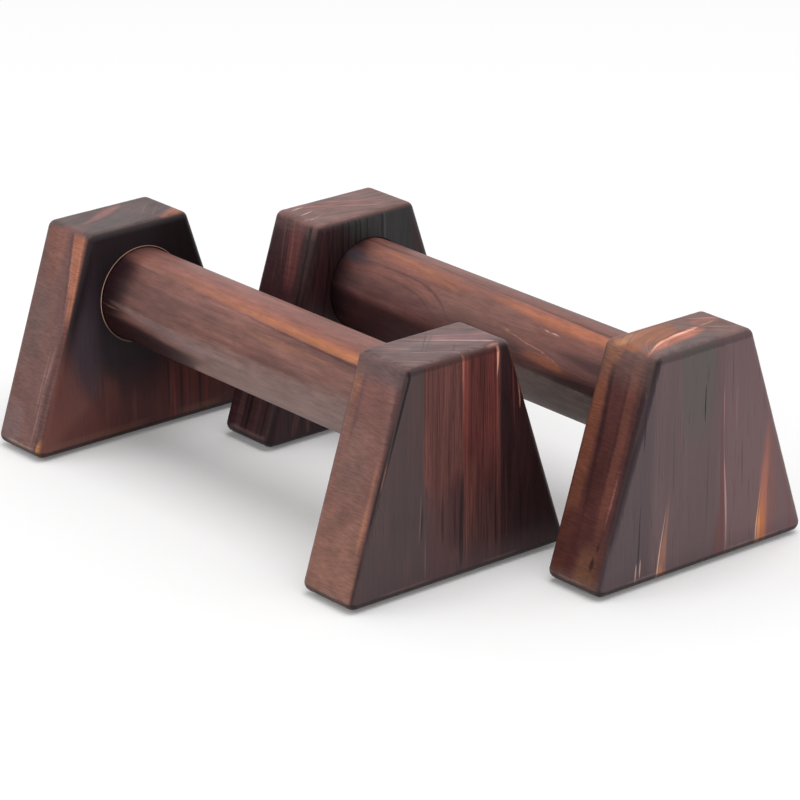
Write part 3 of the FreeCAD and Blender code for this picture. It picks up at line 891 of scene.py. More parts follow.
# %% Left rear foot: ash on the inner face, 1 of 2
add_marks(ASH_AND_SHEEN_MARKS["left_rear"], "inner", [
    ("#0c040a", 26, [(26, 4, 26, 0), (48, 2, 60, 0.55), (70, 0, 70, 0.92), (119, 0, 70, 0.96)]),
    ("#42383f", 8, [(14, -42, 12, 0), (40, -38, 15, 0.75), (60, -36, 13, 0.85), (84, -32, 9, 0.55),
                    (106, -29, 6, 0.2)]),
    ("#251f24", 14, [(14, 2, 14, 0), (32, -2, 22, 0.65), (50, -8, 28, 0.85), (68, -10, 28, 0.6)]),
    ("#764b41", 10, [(-1, -50, 30, 0.7), (18, -52, 27, 0.72), (36, -54, 19, 0.6), (54, -52, 12, 0.25),
                     (70, -48, 8, 0)]),
    ("#542d2c", 12, [(-1, 2, 70, 0.62), (14, 4, 60, 0.55), (28, 8, 44, 0.3), (42, 10, 30, 0)]),
    ("#7c3634", 0.7, [(2, 20, 0.8, 0.5), (14, 20, 1, 0.7), (26, 20, 0.7, 0.5), (38, 20, 0.5, 0)]),
    ("#6b3634", 0.9, [(2, 28, 1.1, 0.4), (16, 28.2, 1.4, 0.55), (36, 28, 0.8, 0)]),
    ("#64302d", 0.9, [(2, 32.5, 1, 0.4), (16, 32.4, 1.2, 0.5), (34, 32, 0.8, 0)]),
    ("#7c3634", 0.7, [(2, 41, 0.9, 0.5), (18, 41, 1.1, 0.5), (34, 41, 0.6, 0)]),
])

# %% Left rear foot: ash and painted sheen on the inner face, 2 of 2
add_marks(ASH_AND_SHEEN_MARKS["left_rear"], "inner", [
    ("#6b4843", 1.4, [(3, -6, 1.2, 0.15), (16, -6.2, 1.6, 0.35), (30, -6, 1, 0)]),
    ("#6a4139", 1.6, [(3, -24, 1.4, 0.2), (18, -24, 2, 0.3), (34, -23.6, 1.2, 0)]),
    ("#1c080c", 1.2, [(2, 24.4, 1.2, 0.4), (24, 24.5, 1.6, 0.6), (44, 24.5, 1.2, 0)]),
    ("#1c080c", 1.2, [(2, 36.6, 1.2, 0.4), (24, 36.5, 1.6, 0.6), (42, 36.5, 1.2, 0)]),
    ("#1c080c", 1.2, [(5, 15.6, 1, 0.3), (28, 16, 1.4, 0.5), (46, 16, 1, 0)]),
    # Pale lines low on the face: a painted highlight on the rounded bottom edge
    ("#80604f", 10, [(3.4, -30, 36, 0), (5.6, -30, 36, 0.3), (9, -30, 36, 0)]),
    ("#80604f", 8, [(3.4, 36, 18, 0), (5.6, 36, 18, 0.3), (9, 36, 18, 0)]),
    ("#a77f5f", 0.8, [(34, -61.4, 0.6, 0), (37, -60.4, 1.4, 0.8), (42, -58.4, 1.4, 0.8),
                      (46, -57, 0.6, 0)]),
])

# %% [markdown]
# ## Marks on the right rear foot
# This is the darkest foot: black lines of late wood on near-black early wood, with a grey gleam in the middle
# of the inner face. A plain black would lose the block's form, so the lines and streaks are drawn here too.

# %% Right rear foot: inner face
add_marks(FOOT_MARKS["right_rear"], "inner", [
    ("#271619", 12, [(-2, 0, 90, 0.75), (119, 0, 80, 0.75)]),
    ("#2d2f2f", 6, [(58, 14, 14, 0), (80, 12, 20, 0.75), (118, 8, 26, 0.85)]),
    ("#331a1e", 5, [(4, -48, 20, 0.7), (60, -40, 15, 0.75), (114, -28, 9, 0.75)]),
    ("#0b0608", 0.6, [(56, -17.4, 0.6, 0), (92, -16.8, 0.9, 0.85), (118, -16.4, 0.9, 0.9)]),
    ("#0b0608", 0.6, [(64, -13, 0.6, 0), (98, -12.8, 0.9, 0.85), (118, -12.5, 0.8, 0.85)]),
    ("#0b0608", 0.6, [(78, -8, 0.6, 0), (104, -8, 0.9, 0.85), (118, -8, 0.7, 0.8)]),
    ("#0b0608", 0.6, [(82, -4.6, 0.6, 0), (107, -4.8, 0.8, 0.85), (118, -5, 0.7, 0.8)]),
    ("#0b0608", 0.6, [(82, 0.4, 0.6, 0), (107, 0, 0.9, 0.85), (118, 0, 0.7, 0.8)]),
    ("#0b0608", 0.7, [(76, 10.4, 0.6, 0), (102, 10.2, 1.1, 0.9), (118, 10, 0.9, 0.85)]),
    ("#4c5150", 0.6, [(92, 12, 0.5, 0), (106, 11.9, 0.7, 0.6), (118, 11.6, 0.6, 0.5)]),
    ("#4d2c2b", 0.8, [(10, -50, 0.7, 0), (50, -42, 1, 0.6), (112, -29, 0.8, 0.5)]),
    ("#090506", 0.8, [(10, -38, 0.8, 0), (50, -33, 1.3, 0.7), (112, -23, 0.9, 0.6)]),
])

# %% Right rear foot: left side, 1 of 2
add_marks(FOOT_MARKS["right_rear"], "left", [
    ("#3a2023", 12, [(-1, 0, 45, 0.88), (118, 0, 45, 0.88)]),
    ("#663a37", 3, [(78, 6, 4, 0), (96, 3.4, 7, 0.75), (118, 1, 8, 0.75)]),
    ("#7c4a43", 0.8, [(86, -3, 0.5, 0), (102, -6, 0.9, 0.5), (118, -8.6, 0.9, 0.5)]),
    ("#84524a", 0.8, [(80, 5, 0.5, 0), (98, 2, 1, 0.6), (118, -1.6, 1, 0.6)]),
    ("#733f3a", 0.8, [(84, 9, 0.5, 0), (102, 6, 1.2, 0.55), (118, 3.4, 1.2, 0.55)]),
    ("#241216", 1, [(78, 1, 0.6, 0), (96, -1.6, 1.2, 0.6), (116, -4.6, 1, 0.4)]),
    # Greyer band near the top of the side: a painted sheen under the rounded top edge
    ("#6b5550", 8, [(108, 0, 34, 0), (115, 0, 34, 0.5), (118, 0, 34, 0.55)]),
    ("#5b3a3a", 0.6, [(74, -7, 0.4, 0), (86, -8, 0.7, 0.5), (98, -9.2, 0.5, 0)]),
])

# %% Right rear foot: left side, 2 of 2
add_marks(FOOT_MARKS["right_rear"], "left", [
    ("#0d0608", 1, [(50, 17.6, 1, 0.5), (80, 15, 1.5, 0.85), (118, 12.4, 1.6, 0.8)]),
    ("#0d0608", 0.9, [(4, -4, 0.8, 0.5), (40, -5, 1.2, 0.7), (76, -6.5, 0.8, 0)]),
    ("#4a2624", 2, [(-1, 3, 5, 0.5), (12, 3, 5, 0.4), (24, 3, 4, 0)]),
    ("#57403e", 1.2, [(3, -8, 2, 0), (10, -8, 3, 0.5), (24, -8, 2.6, 0.5), (60, -8, 1.5, 0)]),
    ("#4e3634", 0.9, [(3, 6, 1.5, 0.4), (14, 6, 2, 0.55), (26, 6, 1.6, 0.4), (60, 5, 1, 0)]),
    ("#070405", 0.6, [(4, -1, 0.8, 0.4), (16, -1, 1.4, 0.9), (28, -1, 1, 0.7), (60, -1, 0.6, 0)]),
    ("#070405", 0.6, [(3, 12, 0.8, 0.3), (14, 12, 1, 0.8), (30, 12, 0.8, 0.5), (60, 12, 0.6, 0)]),
    # Pale line low on the side: a painted highlight on the rounded bottom edge
    ("#8a6f69", 4, [(5.6, 1, 16, 0), (6.8, 1, 16, 0.3), (8.2, 1, 16, 0)]),
])

# %% Right rear foot: inner face near the floor
add_marks(FOOT_MARKS["right_rear"], "inner", [
    ("#5e3d3b", 1, [(3, -52, 1.4, 0.3), (12, -50, 2.4, 0.55), (24, -47, 2, 0.5), (40, -44, 1.2, 0)]),
    ("#5a3937", 0.8, [(3, -42, 1.2, 0.3), (12, -41.5, 1.8, 0.5), (24, -41, 1.4, 0.4), (40, -40, 1, 0)]),
    ("#070405", 0.6, [(3, -46.4, 0.6, 0.4), (14, -45.6, 1, 0.8), (28, -44.6, 0.8, 0.6), (44, -43, 0.5, 0)]),
])

# %% Right rear foot: top
add_marks(FOOT_MARKS["right_rear"], "top", [
    ("#7e625a", 14, [(-38, 0, 45, 0.8), (38, 0, 45, 0.8)]),
    ("#8a5e58", 4, [(-22, -14, 5, 0.5), (-6, -6, 7, 0.6), (10, 0, 6, 0.3), (20, 5, 4, 0)]),
    ("#6c5a56", 5, [(2, -14, 5, 0.4), (16, -8, 7, 0.6), (30, 0, 7, 0.5)]),
    ("#a5857c", 0.8, [(-20, -13, 0.6, 0.3), (-6, -4, 1, 0.6), (10, 7, 1, 0.6), (22, 15, 0.7, 0.3)]),
    ("#5d4a47", 0.7, [(-17, -4, 0.5, 0), (-8, 2.4, 0.8, 0.7), (6, 12, 0.7, 0.4)]),
    ("#5d4a47", 0.7, [(-16, -14, 0.5, 0.3), (-2, -5.4, 0.8, 0.6), (12, 4, 0.7, 0.5), (26, 13, 0.5, 0.2)]),
    ("#a5857c", 0.7, [(-8, -14, 0.5, 0.3), (8, -4, 0.8, 0.5), (24, 6.5, 0.6, 0.2)]),
    ("#5d4a47", 0.7, [(2, -13, 0.5, 0.3), (16, -4, 0.8, 0.5), (30, 5, 0.6, 0.3)]),
    ("#d3b9ac", 0.7, [(-27, -11.2, 0.6, 0), (-23.5, -11.6, 0.9, 0.8), (-18, -12.2, 0.6, 0)]),
    ("#d3b9ac", 0.7, [(-28, -1.8, 0.6, 0), (-24, -2.6, 0.9, 0.75), (-18.5, -4, 0.6, 0)]),
    ("#ae958c", 0.7, [(-30, 8, 0.5, 0), (-24, 5.6, 0.8, 0.5), (-15, 3, 0.5, 0)]),
])

# %% Right rear foot: outer face
add_marks(FOOT_MARKS["right_rear"], "outer", [
    ("#3a2322", 8, [(-1, 0, 90, 0.5), (118, 0, 60, 0.5)]),
    ("#150b0d", 3, [(-1, -30, 8, 0.8), (60, -26, 7, 0.85), (118, -20, 5, 0.85)]),
    ("#68403a", 2, [(-1, 18, 5, 0.6), (60, 17, 4, 0.6), (118, 14, 3, 0.6)]),
    ("#8a5242", 0.8, [(10, -4, 0.7, 0.4), (70, -4.4, 0.9, 0.6), (118, -5, 0.9, 0.7)]),
])

# %% Right rear foot: right side
add_marks(FOOT_MARKS["right_rear"], "right", [
    ("#3c2423", 10, [(-1, 0, 40, 0.6), (118, 0, 40, 0.6)]),
    ("#120a0c", 2, [(-1, -4, 3, 0.7), (118, -6, 3, 0.8)]),
    ("#734637", 1.6, [(4, 8, 1.6, 0.5), (60, 9, 1.8, 0.5), (118, 10, 1.6, 0.5)]),
])

# %% [markdown]
# ## Marks on the handles
# The handles were scorched lightly and stay brown. Near the rear feet they are black, partly where the flame
# reached them and partly from painted shade, which is deepest on the underside, and a grey band low down is a
# painted reflection of the floor. Their streaks follow the dowel all round, so a flat picture would have to
# be wrapped and would
# show its seam. A mark on a handle is written in mm along the bar from its middle, and in degrees round from
# the top towards the left, and its half width is in degrees too.

# %% Left handle, 1 of 2
add_marks(HANDLE_MARKS["left"], "round", [
    ("#8b6055", 22, [(-132, 0, 34, 0.75), (0, 2, 36, 0.75), (132, 4, 38, 0.8)]),
    # Grey band low on the handle: a painted reflection of the floor
    ("#85736b", 26, [(-80, 112, 16, 0), (-40, 110, 34, 0.5), (20, 110, 42, 0.75), (132, 108, 46, 0.8)]),
    ("#9c644c", 14, [(-108, 13, 11, 0.15), (-60, 16, 15, 0.35), (-10, 21, 16, 0.5), (40, 25, 16, 0.65),
                     (132, 28, 16, 0.75)]),
    ("#b4784d", 7, [(-76, 22, 4, 0.1), (-14, 26, 7, 0.4), (40, 30, 8.5, 0.55), (72, 31.5, 9.5, 0.7),
                    (132, 32.5, 9.5, 0.7)]),
    ("#43262a", 1.6, [(-112, 28.5, 1.6, 0.6), (-76, 29, 1.2, 0.45), (-30, 32.8, 1.2, 0.4),
                      (10, 35.4, 1.4, 0.5), (50, 37.8, 2, 0.7), (88, 39.4, 3, 0.8), (132, 40, 3.4, 0.8)]),
    ("#5a3d39", 6, [(26, 43, 3, 0), (62, 44, 6, 0.5), (132, 46, 8, 0.6)]),
    ("#6b4239", 3, [(-72, 64, 1.6, 0), (-30, 65, 2.8, 0.5), (10, 66, 2.6, 0.55), (50, 65, 2.2, 0.4),
                    (80, 64, 1.6, 0)]),
    ("#633c35", 5, [(-64, 74, 3, 0), (-18, 75, 5.5, 0.55), (30, 76, 6, 0.6), (60, 76, 5, 0.35),
                    (84, 75, 3, 0)]),
    ("#9c6e52", 7, [(-6, 50, 4, 0), (28, 51, 7, 0.5), (58, 50, 6, 0.35), (84, 49, 4, 0)]),
    ("#8a6660", 4, [(-88, 44, 3, 0), (-50, 46, 5, 0.45), (-10, 48, 4, 0.3), (10, 50, 3, 0)]),
    # Dark near the rear foot: partly char, partly painted shade of the foot
    ("#2f1a1e", 24, [(-132, 0, 80, 0.9), (-112, 0, 56, 0.75), (-104, 0, 50, 0.45), (-92, 0, 44, 0)]),
])

# %% Left handle, 2 of 2
add_marks(HANDLE_MARKS["left"], "round", [
    # Dark near the rear foot: partly char, partly painted shade of the foot
    ("#1d0a13", 18, [(-132, 66, 70, 0.97), (-111, 64, 50, 0.96), (-101, 63, 46, 0.93), (-93, 62, 42, 0.7),
                     (-84, 62, 38, 0.2), (-70, 62, 32, 0)]),
    # Lighter grey band above the black underside: a painted sheen
    ("#84716c", 7, [(-106, 82, 4, 0), (-86, 86, 8, 0.5), (-40, 94, 10, 0.6), (-5, 100, 11, 0.45),
                    (24, 106, 10, 0)]),
    # Near-black underside near the rear foot: painted shade
    ("#1f080b", 12, [(-132, 160, 70, 0.98), (-72, 156, 60, 0.97), (-55, 140, 40, 0.93),
                     (-45, 128, 27, 0.82), (-36, 118, 16, 0.58), (-27, 111, 9, 0.28), (-14, 107, 5, 0)]),
    ("#95654e", 1.4, [(-112, 88, 1, 0.35), (-103, 89.2, 1.4, 0.5), (-93, 90.4, 1, 0.15),
                      (-84, 91, 0.6, 0)]),
    ("#5d4038", 10, [(-60, 180, 36, 0), (-10, 180, 46, 0.5), (132, 180, 46, 0.5)]),
    ("#5d4038", 10, [(-60, -180, 36, 0), (-10, -180, 46, 0.5), (132, -180, 46, 0.5)]),
    # Near-black bottom near the rear foot: painted shade
    ("#1f080b", 9, [(-132, -180, 40, 0.98), (-72, -180, 34, 0.98), (-55, -180, 12, 0.7),
                    (-44, -180, 4, 0)]),
    ("#94634c", 6, [(-112, -58, 4, 0.2), (-50, -62, 8, 0.6), (30, -64, 9, 0.55), (112, -58, 6, 0.2)]),
    ("#3f2728", 4, [(-112, -100, 5, 0.6), (-40, -104, 6, 0.6), (40, -101, 4, 0.5), (100, -98, 3, 0)]),
    ("#a8714e", 3, [(-80, -84, 2, 0), (-10, -86, 3.4, 0.65), (60, -84, 3, 0.5), (112, -82, 2, 0.3)]),
    # Grey band low on the far side: a painted reflection of the floor
    ("#7d6660", 12, [(-30, -134, 10, 0), (30, -132, 20, 0.6), (112, -130, 22, 0.7)]),
])

# %% Right handle, 1 of 3
add_marks(HANDLE_MARKS["right"], "round", [
    ("#865b4e", 22, [(-132, 18, 46, 0.6), (132, 24, 52, 0.6)]),
    ("#785a50", 14, [(-44, 46, 10, 0), (-14, 40, 24, 0.6), (16, 38, 26, 0.6), (46, 40, 16, 0)]),
    ("#98624a", 10, [(-104, 14, 6, 0), (-84, 14, 13, 0.5), (-60, 16, 14, 0.7), (-34, 20, 15, 0.55),
                     (-12, 20, 11, 0.2), (4, 20, 8, 0)]),
    ("#b0764d", 5, [(-92, 9, 2.5, 0), (-74, 12, 4.5, 0.45), (-56, 15, 4, 0.3), (-42, 22, 4, 0.4),
                    (-28, 27, 4, 0.45), (-18, 30, 2.5, 0)]),
    ("#ab6c4c", 10, [(-8, 14, 8, 0), (30, 18, 12, 0.75), (70, 20, 14, 0.8), (132, 18, 14, 0.7)]),
    ("#43261f", 2, [(-112, 0, 2.6, 0.65), (-60, 1, 2.4, 0.55), (-20, 4, 2.2, 0.5), (40, 7, 2.4, 0.55),
                    (80, 9, 2.8, 0.6), (132, 10, 2.8, 0.5)]),
    ("#4a2e2b", 2.5, [(-100, 36, 2, 0.3), (-80, 34, 2.6, 0.55), (-58, 35, 2.8, 0.65), (-40, 40, 3, 0.65),
                      (-28, 50, 2.8, 0.5), (-20, 62, 2.4, 0.3), (-14, 72, 2, 0)]),
    ("#8a5f50", 2, [(-84, 40, 1.6, 0), (-60, 41, 2.2, 0.45), (-42, 46, 2.2, 0.45), (-30, 58, 1.8, 0)]),
    ("#53342f", 2, [(-92, 47, 1.6, 0), (-70, 46, 2.2, 0.5), (-50, 50, 2.4, 0.55), (-38, 58, 2.2, 0.4),
                    (-30, 68, 1.8, 0)]),
])

# %% Right handle, 2 of 3
add_marks(HANDLE_MARKS["right"], "round", [
    ("#6c4440", 8, [(-92, 62, 8, 0), (-66, 64, 13, 0.5), (-40, 68, 11, 0.4), (-20, 72, 8, 0)]),
    ("#5f3e38", 6, [(-60, 78, 6, 0), (-36, 80, 10, 0.6), (-6, 76, 8, 0.4), (14, 74, 6, 0)]),
    ("#c9aa9e", 0.8, [(46, 34.2, 0.5, 0), (48.5, 34.8, 1.2, 0.75), (51, 35.6, 0.8, 0.1),
                      (54.5, 35, 1.2, 0.7), (58, 36, 0.5, 0)]),
    ("#c08a66", 1, [(16, 50, 0.6, 0), (30, 53, 1, 0.6), (40, 57, 1, 0.7), (52, 60, 1, 0.7),
                    (62, 66, 1, 0.6), (69, 72, 0.6, 0)]),
    ("#9a6042", 5, [(32, 68, 3, 0), (47, 69, 6.5, 0.55), (58, 70, 7.5, 0.7), (71, 72, 5, 0.3),
                    (82, 72, 3, 0)]),
    ("#351b1d", 12, [(54, 52, 6, 0), (72, 54, 11, 0.7), (88, 55, 13, 0.85), (132, 55, 16, 0.9)]),
    # Grey band low on the handle: a painted reflection of the floor
    ("#6c6760", 12, [(-10, 116, 20, 0), (24, 114, 30, 0.6), (60, 112, 34, 0.8), (132, 112, 34, 0.8)]),
    ("#2a1617", 3, [(30, 82, 3, 0), (60, 84, 5, 0.6), (90, 82, 7, 0.75), (132, 80, 9, 0.75)]),
    # Dark underside towards the rear foot: painted shade
    ("#321719", 14, [(-132, 120, 50, 0.95), (-60, 118, 44, 0.9), (-10, 120, 38, 0.85), (12, 128, 30, 0.3),
                     (28, 132, 26, 0)]),
])

# %% Right handle, 3 of 3
add_marks(HANDLE_MARKS["right"], "round", [
    # Dark near the rear foot: partly char, partly painted shade of the foot
    ("#1a0d12", 30, [(-132, 50, 150, 0.96), (-113, 56, 90, 0.93), (-104, 60, 70, 0.75), (-95, 60, 56, 0.35),
                     (-84, 60, 44, 0)]),
    ("#3a383f", 8, [(-111, 33, 8, 0.5), (-102, 34, 13, 0.7), (-93, 36, 10, 0.45), (-82, 37, 6, 0)]),
    ("#5d4038", 10, [(-60, 180, 36, 0), (-10, 180, 46, 0.5), (132, 180, 46, 0.5)]),
    ("#5d4038", 10, [(-60, -180, 36, 0), (-10, -180, 46, 0.5), (132, -180, 46, 0.5)]),
    ("#90604c", 7, [(-112, -52, 6, 0.3), (-40, -48, 9, 0.6), (40, -52, 10, 0.6), (112, -56, 6, 0.4)]),
    ("#3a2322", 3, [(-112, -76, 3, 0.5), (-30, -72, 4, 0.65), (50, -75, 4, 0.6), (112, -78, 3, 0.5)]),
    ("#ab7650", 4, [(-60, -98, 3, 0), (0, -100, 5, 0.6), (56, -98, 4, 0.55), (100, -96, 3, 0)]),
    # Dark underside on the far side towards the rear foot: painted shade
    ("#2c191b", 10, [(-112, -132, 24, 0.9), (-60, -130, 20, 0.8), (-10, -128, 10, 0.4), (20, -128, 6, 0)]),
])

# %% [markdown]
# ## Scorched softwood
# Scorching turns the surface brown to black, brushing leaves fine lines along the grain, and the satin finish
# lays a soft, pale reflection over it. A photograph of wood could be wrapped round each piece, but it would
# stretch on the sides and repeat. The material here starts from brown wood in slow clouds, lays the marks
# over it one by one, and then draws what runs through everything: fibres, strands, dark pores and, where
# the saw crossed the grain, short flecks. The upright and top edges take more of the flame than faces do, so
# they are darker, and the bottom edge is darkened with painted shade.

# %% Fields along the grain
# A softwood fibre is only about 0.03 mm wide, so bundles of 0.7 mm stand for fibres, or none would show
FOOT_GRAIN = {
    "fibre": (0.7, 30.0),
    "strand": (2.6, 80.0),
    "pore": (0.9, 16.0),
    "cloud": (14.0, 110.0),
    "check": (0.55, 22.0),
}
HANDLE_GRAIN = {
    "fibre": (0.8, 13.0),
    "strand": (2.6, 44.0),
    "pore": (0.9, 10.0),
    "cloud": (16.0, 60.0),
    "check": (0.6, 9.0),
}
RING_RUN = 34.0
# A Mix node has a pair of inputs for numbers, one for vectors and one for colours, and an output for each
MIX_SHARE, NUMBER_A, NUMBER_B, VECTOR_A, VECTOR_B, COLOUR_A, COLOUR_B = 0, 2, 3, 4, 5, 6, 7
VECTOR_OUT, COLOUR_OUT = 1, 2


def grain_fields(tree, grain_axis, sizes, end_grain=None):
    """Noise drawn out along the grain, whose axis number is given: (size across, size along) in mm for each.
    On end grain the same noise follows the ring distance instead, and changes slowly along each ring."""
    place = node(tree, "ShaderNodeTexCoord").outputs["Object"]
    fields = {"place": place}
    if end_grain is not None:
        x, y, _ = node(tree, "ShaderNodeSeparateXYZ", [place]).outputs
        ring = node(tree, "ShaderNodeAttribute", attribute_name="ring").outputs["Fac"]
        on_ring = node(tree, "ShaderNodeCombineXYZ", [ring, x, y])
    for field, (across, along) in sizes.items():
        scale = [1 / (across * MM)] * 3
        scale[grain_axis] = 1 / (along * MM)
        where = node(tree, "ShaderNodeMapping", {"Vector": place, "Scale": scale})
        if end_grain is not None:
            ring_scale = (1 / across, 1 / (RING_RUN * MM), 1 / (RING_RUN * MM))
            on_top = node(tree, "ShaderNodeMapping", {"Vector": on_ring, "Scale": ring_scale})
            where = node(tree, "ShaderNodeMix", {MIX_SHARE: end_grain, VECTOR_A: where, VECTOR_B: on_top},
                         data_type="VECTOR").outputs[VECTOR_OUT]
        noise = node(tree, "ShaderNodeTexNoise",
                     {"Vector": where, "Scale": 1.0, "Detail": 3.0, "Roughness": 0.6})
        fields[field] = noise.outputs["Fac"]
    return fields


print("sizes across and along the grain in mm:", FOOT_GRAIN, HANDLE_GRAIN)

# %% [markdown]
# ## Drawing a mark
# A scorched streak has no clean outline: its sides and ends run out along the fibres. A mark could be
# a smooth band, but it would look painted. Here the coordinates that it is drawn with are shifted a little
# by the noise of the fibres, so that every mark frays with the grain that it lies in.

# %% Coordinates on the faces
SPAN = 150.0
HANDLE_SPAN = 300.0
ROUND = 360.0
# How far the sides of a mark fray, in mm: a fine mark by the first, a broad one by the second
SIDE_FRAY = (0.5, 2.0)
END_FRAY = 1.5
# Round a handle, each mm of side fray is drawn as this many degrees
DEGREES_FOR_MM = 3.0


def frayed(tree, coordinate, fields, reach):
    """A coordinate shifted by up to about half the reach, by the strands and the fibres together."""
    both = node(tree, "ShaderNodeMath", [fields["strand"], fields["fibre"]], operation="ADD")
    middle = node(tree, "ShaderNodeMath", [both, 1.0], operation="SUBTRACT")
    return node(tree, "ShaderNodeMath", [middle, reach, coordinate], operation="MULTIPLY_ADD")


def foot_faces(tree, centre, fields, weights):
    """For each face of a foot: its weights, its along and across coordinates as shares of SPAN, and what
    along is at 0 mm. A curve node takes a colour, so along is a grey one. It runs up, and on the top to the
    right."""
    shift = (0.5 - centre[0] / SPAN, 0.5 - centre[1] / SPAN, 0)
    scale = [1 / (SPAN * MM)] * 3
    unit = node(tree, "ShaderNodeMapping", {"Vector": fields["place"], "Scale": scale, "Location": shift})
    x, y, z = node(tree, "ShaderNodeSeparateXYZ", [unit]).outputs
    over_y = [frayed(tree, y, fields, reach / SPAN) for reach in SIDE_FRAY]
    over_x = [frayed(tree, x, fields, reach / SPAN) for reach in SIDE_FRAY]
    up = node(tree, "ShaderNodeCombineColor", [frayed(tree, z, fields, END_FRAY / SPAN)] * 3)
    level = node(tree, "ShaderNodeCombineColor", [frayed(tree, y, fields, END_FRAY / SPAN)] * 3)
    faces = {face: ([weights[face]], up, over_y, 0.0) for face in ("outer", "inner")}
    faces |= {face: ([weights[face]], up, over_x, 0.0) for face in ("left", "right")}
    faces["top"] = ([weights["top"]], level, over_x, 0.5)
    return faces


def handle_faces(tree, centre, fields):
    """One face, all round, with no weight: along is a share of HANDLE_SPAN, across the turn from the top."""
    shift = (0.5 - centre[0] / HANDLE_SPAN, -centre[1] / HANDLE_SPAN, -centre[2] / HANDLE_SPAN)
    scale = [1 / (HANDLE_SPAN * MM)] * 3
    unit = node(tree, "ShaderNodeMapping", {"Vector": fields["place"], "Scale": scale, "Location": shift})
    x, y, z = node(tree, "ShaderNodeSeparateXYZ", [unit]).outputs
    left = node(tree, "ShaderNodeMath", [y, -1.0], operation="MULTIPLY")
    angle = node(tree, "ShaderNodeMath", [left, z], operation="ARCTAN2")
    turn = node(tree, "ShaderNodeMath", [angle, 0.5 / np.pi, 0.5], operation="MULTIPLY_ADD")
    along = node(tree, "ShaderNodeCombineColor", [frayed(tree, x, fields, END_FRAY / HANDLE_SPAN)] * 3)
    over_turn = [frayed(tree, turn, fields, reach * DEGREES_FOR_MM / ROUND) for reach in SIDE_FRAY]
    return {"round": ([], along, over_turn, 0.5)}


print("marks fray by", SIDE_FRAY, "mm at their sides and by", END_FRAY, "mm at their ends")

# %% Laying a mark
FINE_EDGE = 1.0


def laid_over(tree, colour, tint, *shares):
    """A tint over a colour. The product of the shares is how much of it shows."""
    cover = shares[0]
    for share in shares[1:]:
        cover = node(tree, "ShaderNodeMath", [cover, share], operation="MULTIPLY")
    mixed = node(tree, "ShaderNodeMix", {MIX_SHARE: cover, COLOUR_A: colour, COLOUR_B: linear(tint)},
                 data_type="RGBA")
    return mixed.outputs[COLOUR_OUT]


def mark_curves(tree, stops, along, along_span, along_zero, across_span):
    """Three curves through the stops, the channels of one curve node: middle line, half width and cover."""
    curves = node(tree, "ShaderNodeRGBCurve", {"Color": along})
    scales = ((across_span, 0.5), (across_span, 0.0), (1.0, 0.0))
    for channel, (divisor, zero) in enumerate(scales):
        points = curves.mapping.curves[channel].points
        for k, stop in enumerate(stops):
            spot = (stop[0] / along_span + along_zero, stop[channel + 1] / divisor + zero)
            if k < 2:
                points[k].location = spot
            else:
                points.new(*spot)
        for point in points:
            point.handle_type = "AUTO_CLAMPED"
    curves.mapping.extend = "HORIZONTAL"
    curves.mapping.update()
    return node(tree, "ShaderNodeSeparateColor", [curves]).outputs


def lay_mark(tree, colour, mark, faces, along_span, across_span):
    """One mark over a colour, from its middle line m, half width w and cover. At a distance d from m, w - |d|
    through an S curve as wide as the mark's softness is how much of the cover shows."""
    face, tint, softness, stops = mark
    weights, along, across, along_zero = faces[face]
    middle, width, cover = mark_curves(tree, stops, along, along_span, along_zero, across_span)
    fray = 0 if softness < FINE_EDGE else 1
    off = node(tree, "ShaderNodeMath", [across[fray], middle], operation="SUBTRACT")
    far = node(tree, "ShaderNodeMath", [off], operation="ABSOLUTE")
    inside = node(tree, "ShaderNodeMath", [width, far], operation="SUBTRACT")
    share = node(tree, "ShaderNodeMapRange", [inside, 0.0, softness / across_span, 0.0, cover],
                 interpolation_type="SMOOTHSTEP")
    return laid_over(tree, colour, tint, share, *weights)


print("a mark with an edge softer than", FINE_EDGE, "mm frays as a broad one")

# %% [markdown]
# ## Grain over the marks
# Fibres, strands and pores run through brown and black wood alike. They could be mixed in as lines of another
# colour, but on black wood those would glow. So they multiply the colour, and scale with what is there.
# Brushed and sealed softwood has a satin sheen: the ridges shine a little more than the valleys.

# %% Tone of the grain
# Nearly all values of a noise lie between these two
NOISE_RANGE = (0.3, 0.7)
PORE_RANGE = (0.60, 0.68)
CLOUD_STOPS = (0.34, 0.5, 0.66)
CLOUD_SWING = (0.90, 1.10)


def cloudy_brown(tree, fields, browns):
    """Three browns, dark to light, picked by the slow clouds."""
    ramp = node(tree, "ShaderNodeValToRGB", {"Fac": fields["cloud"]})
    ramp.color_ramp.elements.new(CLOUD_STOPS[1])
    for stop, place, brown in zip(ramp.color_ramp.elements, CLOUD_STOPS, browns):
        stop.position = place
        stop.color = linear(brown)
    return ramp.outputs["Color"]


def grain_tone(tree, fields, contrast):
    """How light the wood is: a product of fibres, strands and clouds around 1, and less on the dark pores."""
    swings = {
        "fibre": (*NOISE_RANGE, 1 - contrast, 1 + contrast),
        "strand": (*NOISE_RANGE, 1 - 0.7 * contrast, 1 + 0.7 * contrast),
        "cloud": (*NOISE_RANGE, *CLOUD_SWING),
        "pore": (*PORE_RANGE, 1.0, 1 - 1.2 * contrast),
    }
    tone = 1.0
    for field, swing in swings.items():
        level = node(tree, "ShaderNodeMapRange", [fields[field], *swing])
        tone = node(tree, "ShaderNodeMath", [tone, level], operation="MULTIPLY")
    return tone


print("browns change at", CLOUD_STOPS, "of the clouds")

# %% Satin finish
SATIN_ROUGHNESS = (0.42, 0.54)
SATIN_TINT = (1.05, 0.93, 0.975)
SATIN_IOR = 1.5
SATIN_SPECULAR = 0.26
GRAIN_HEIGHT = 0.15
GRAIN_STRENGTH = 0.4


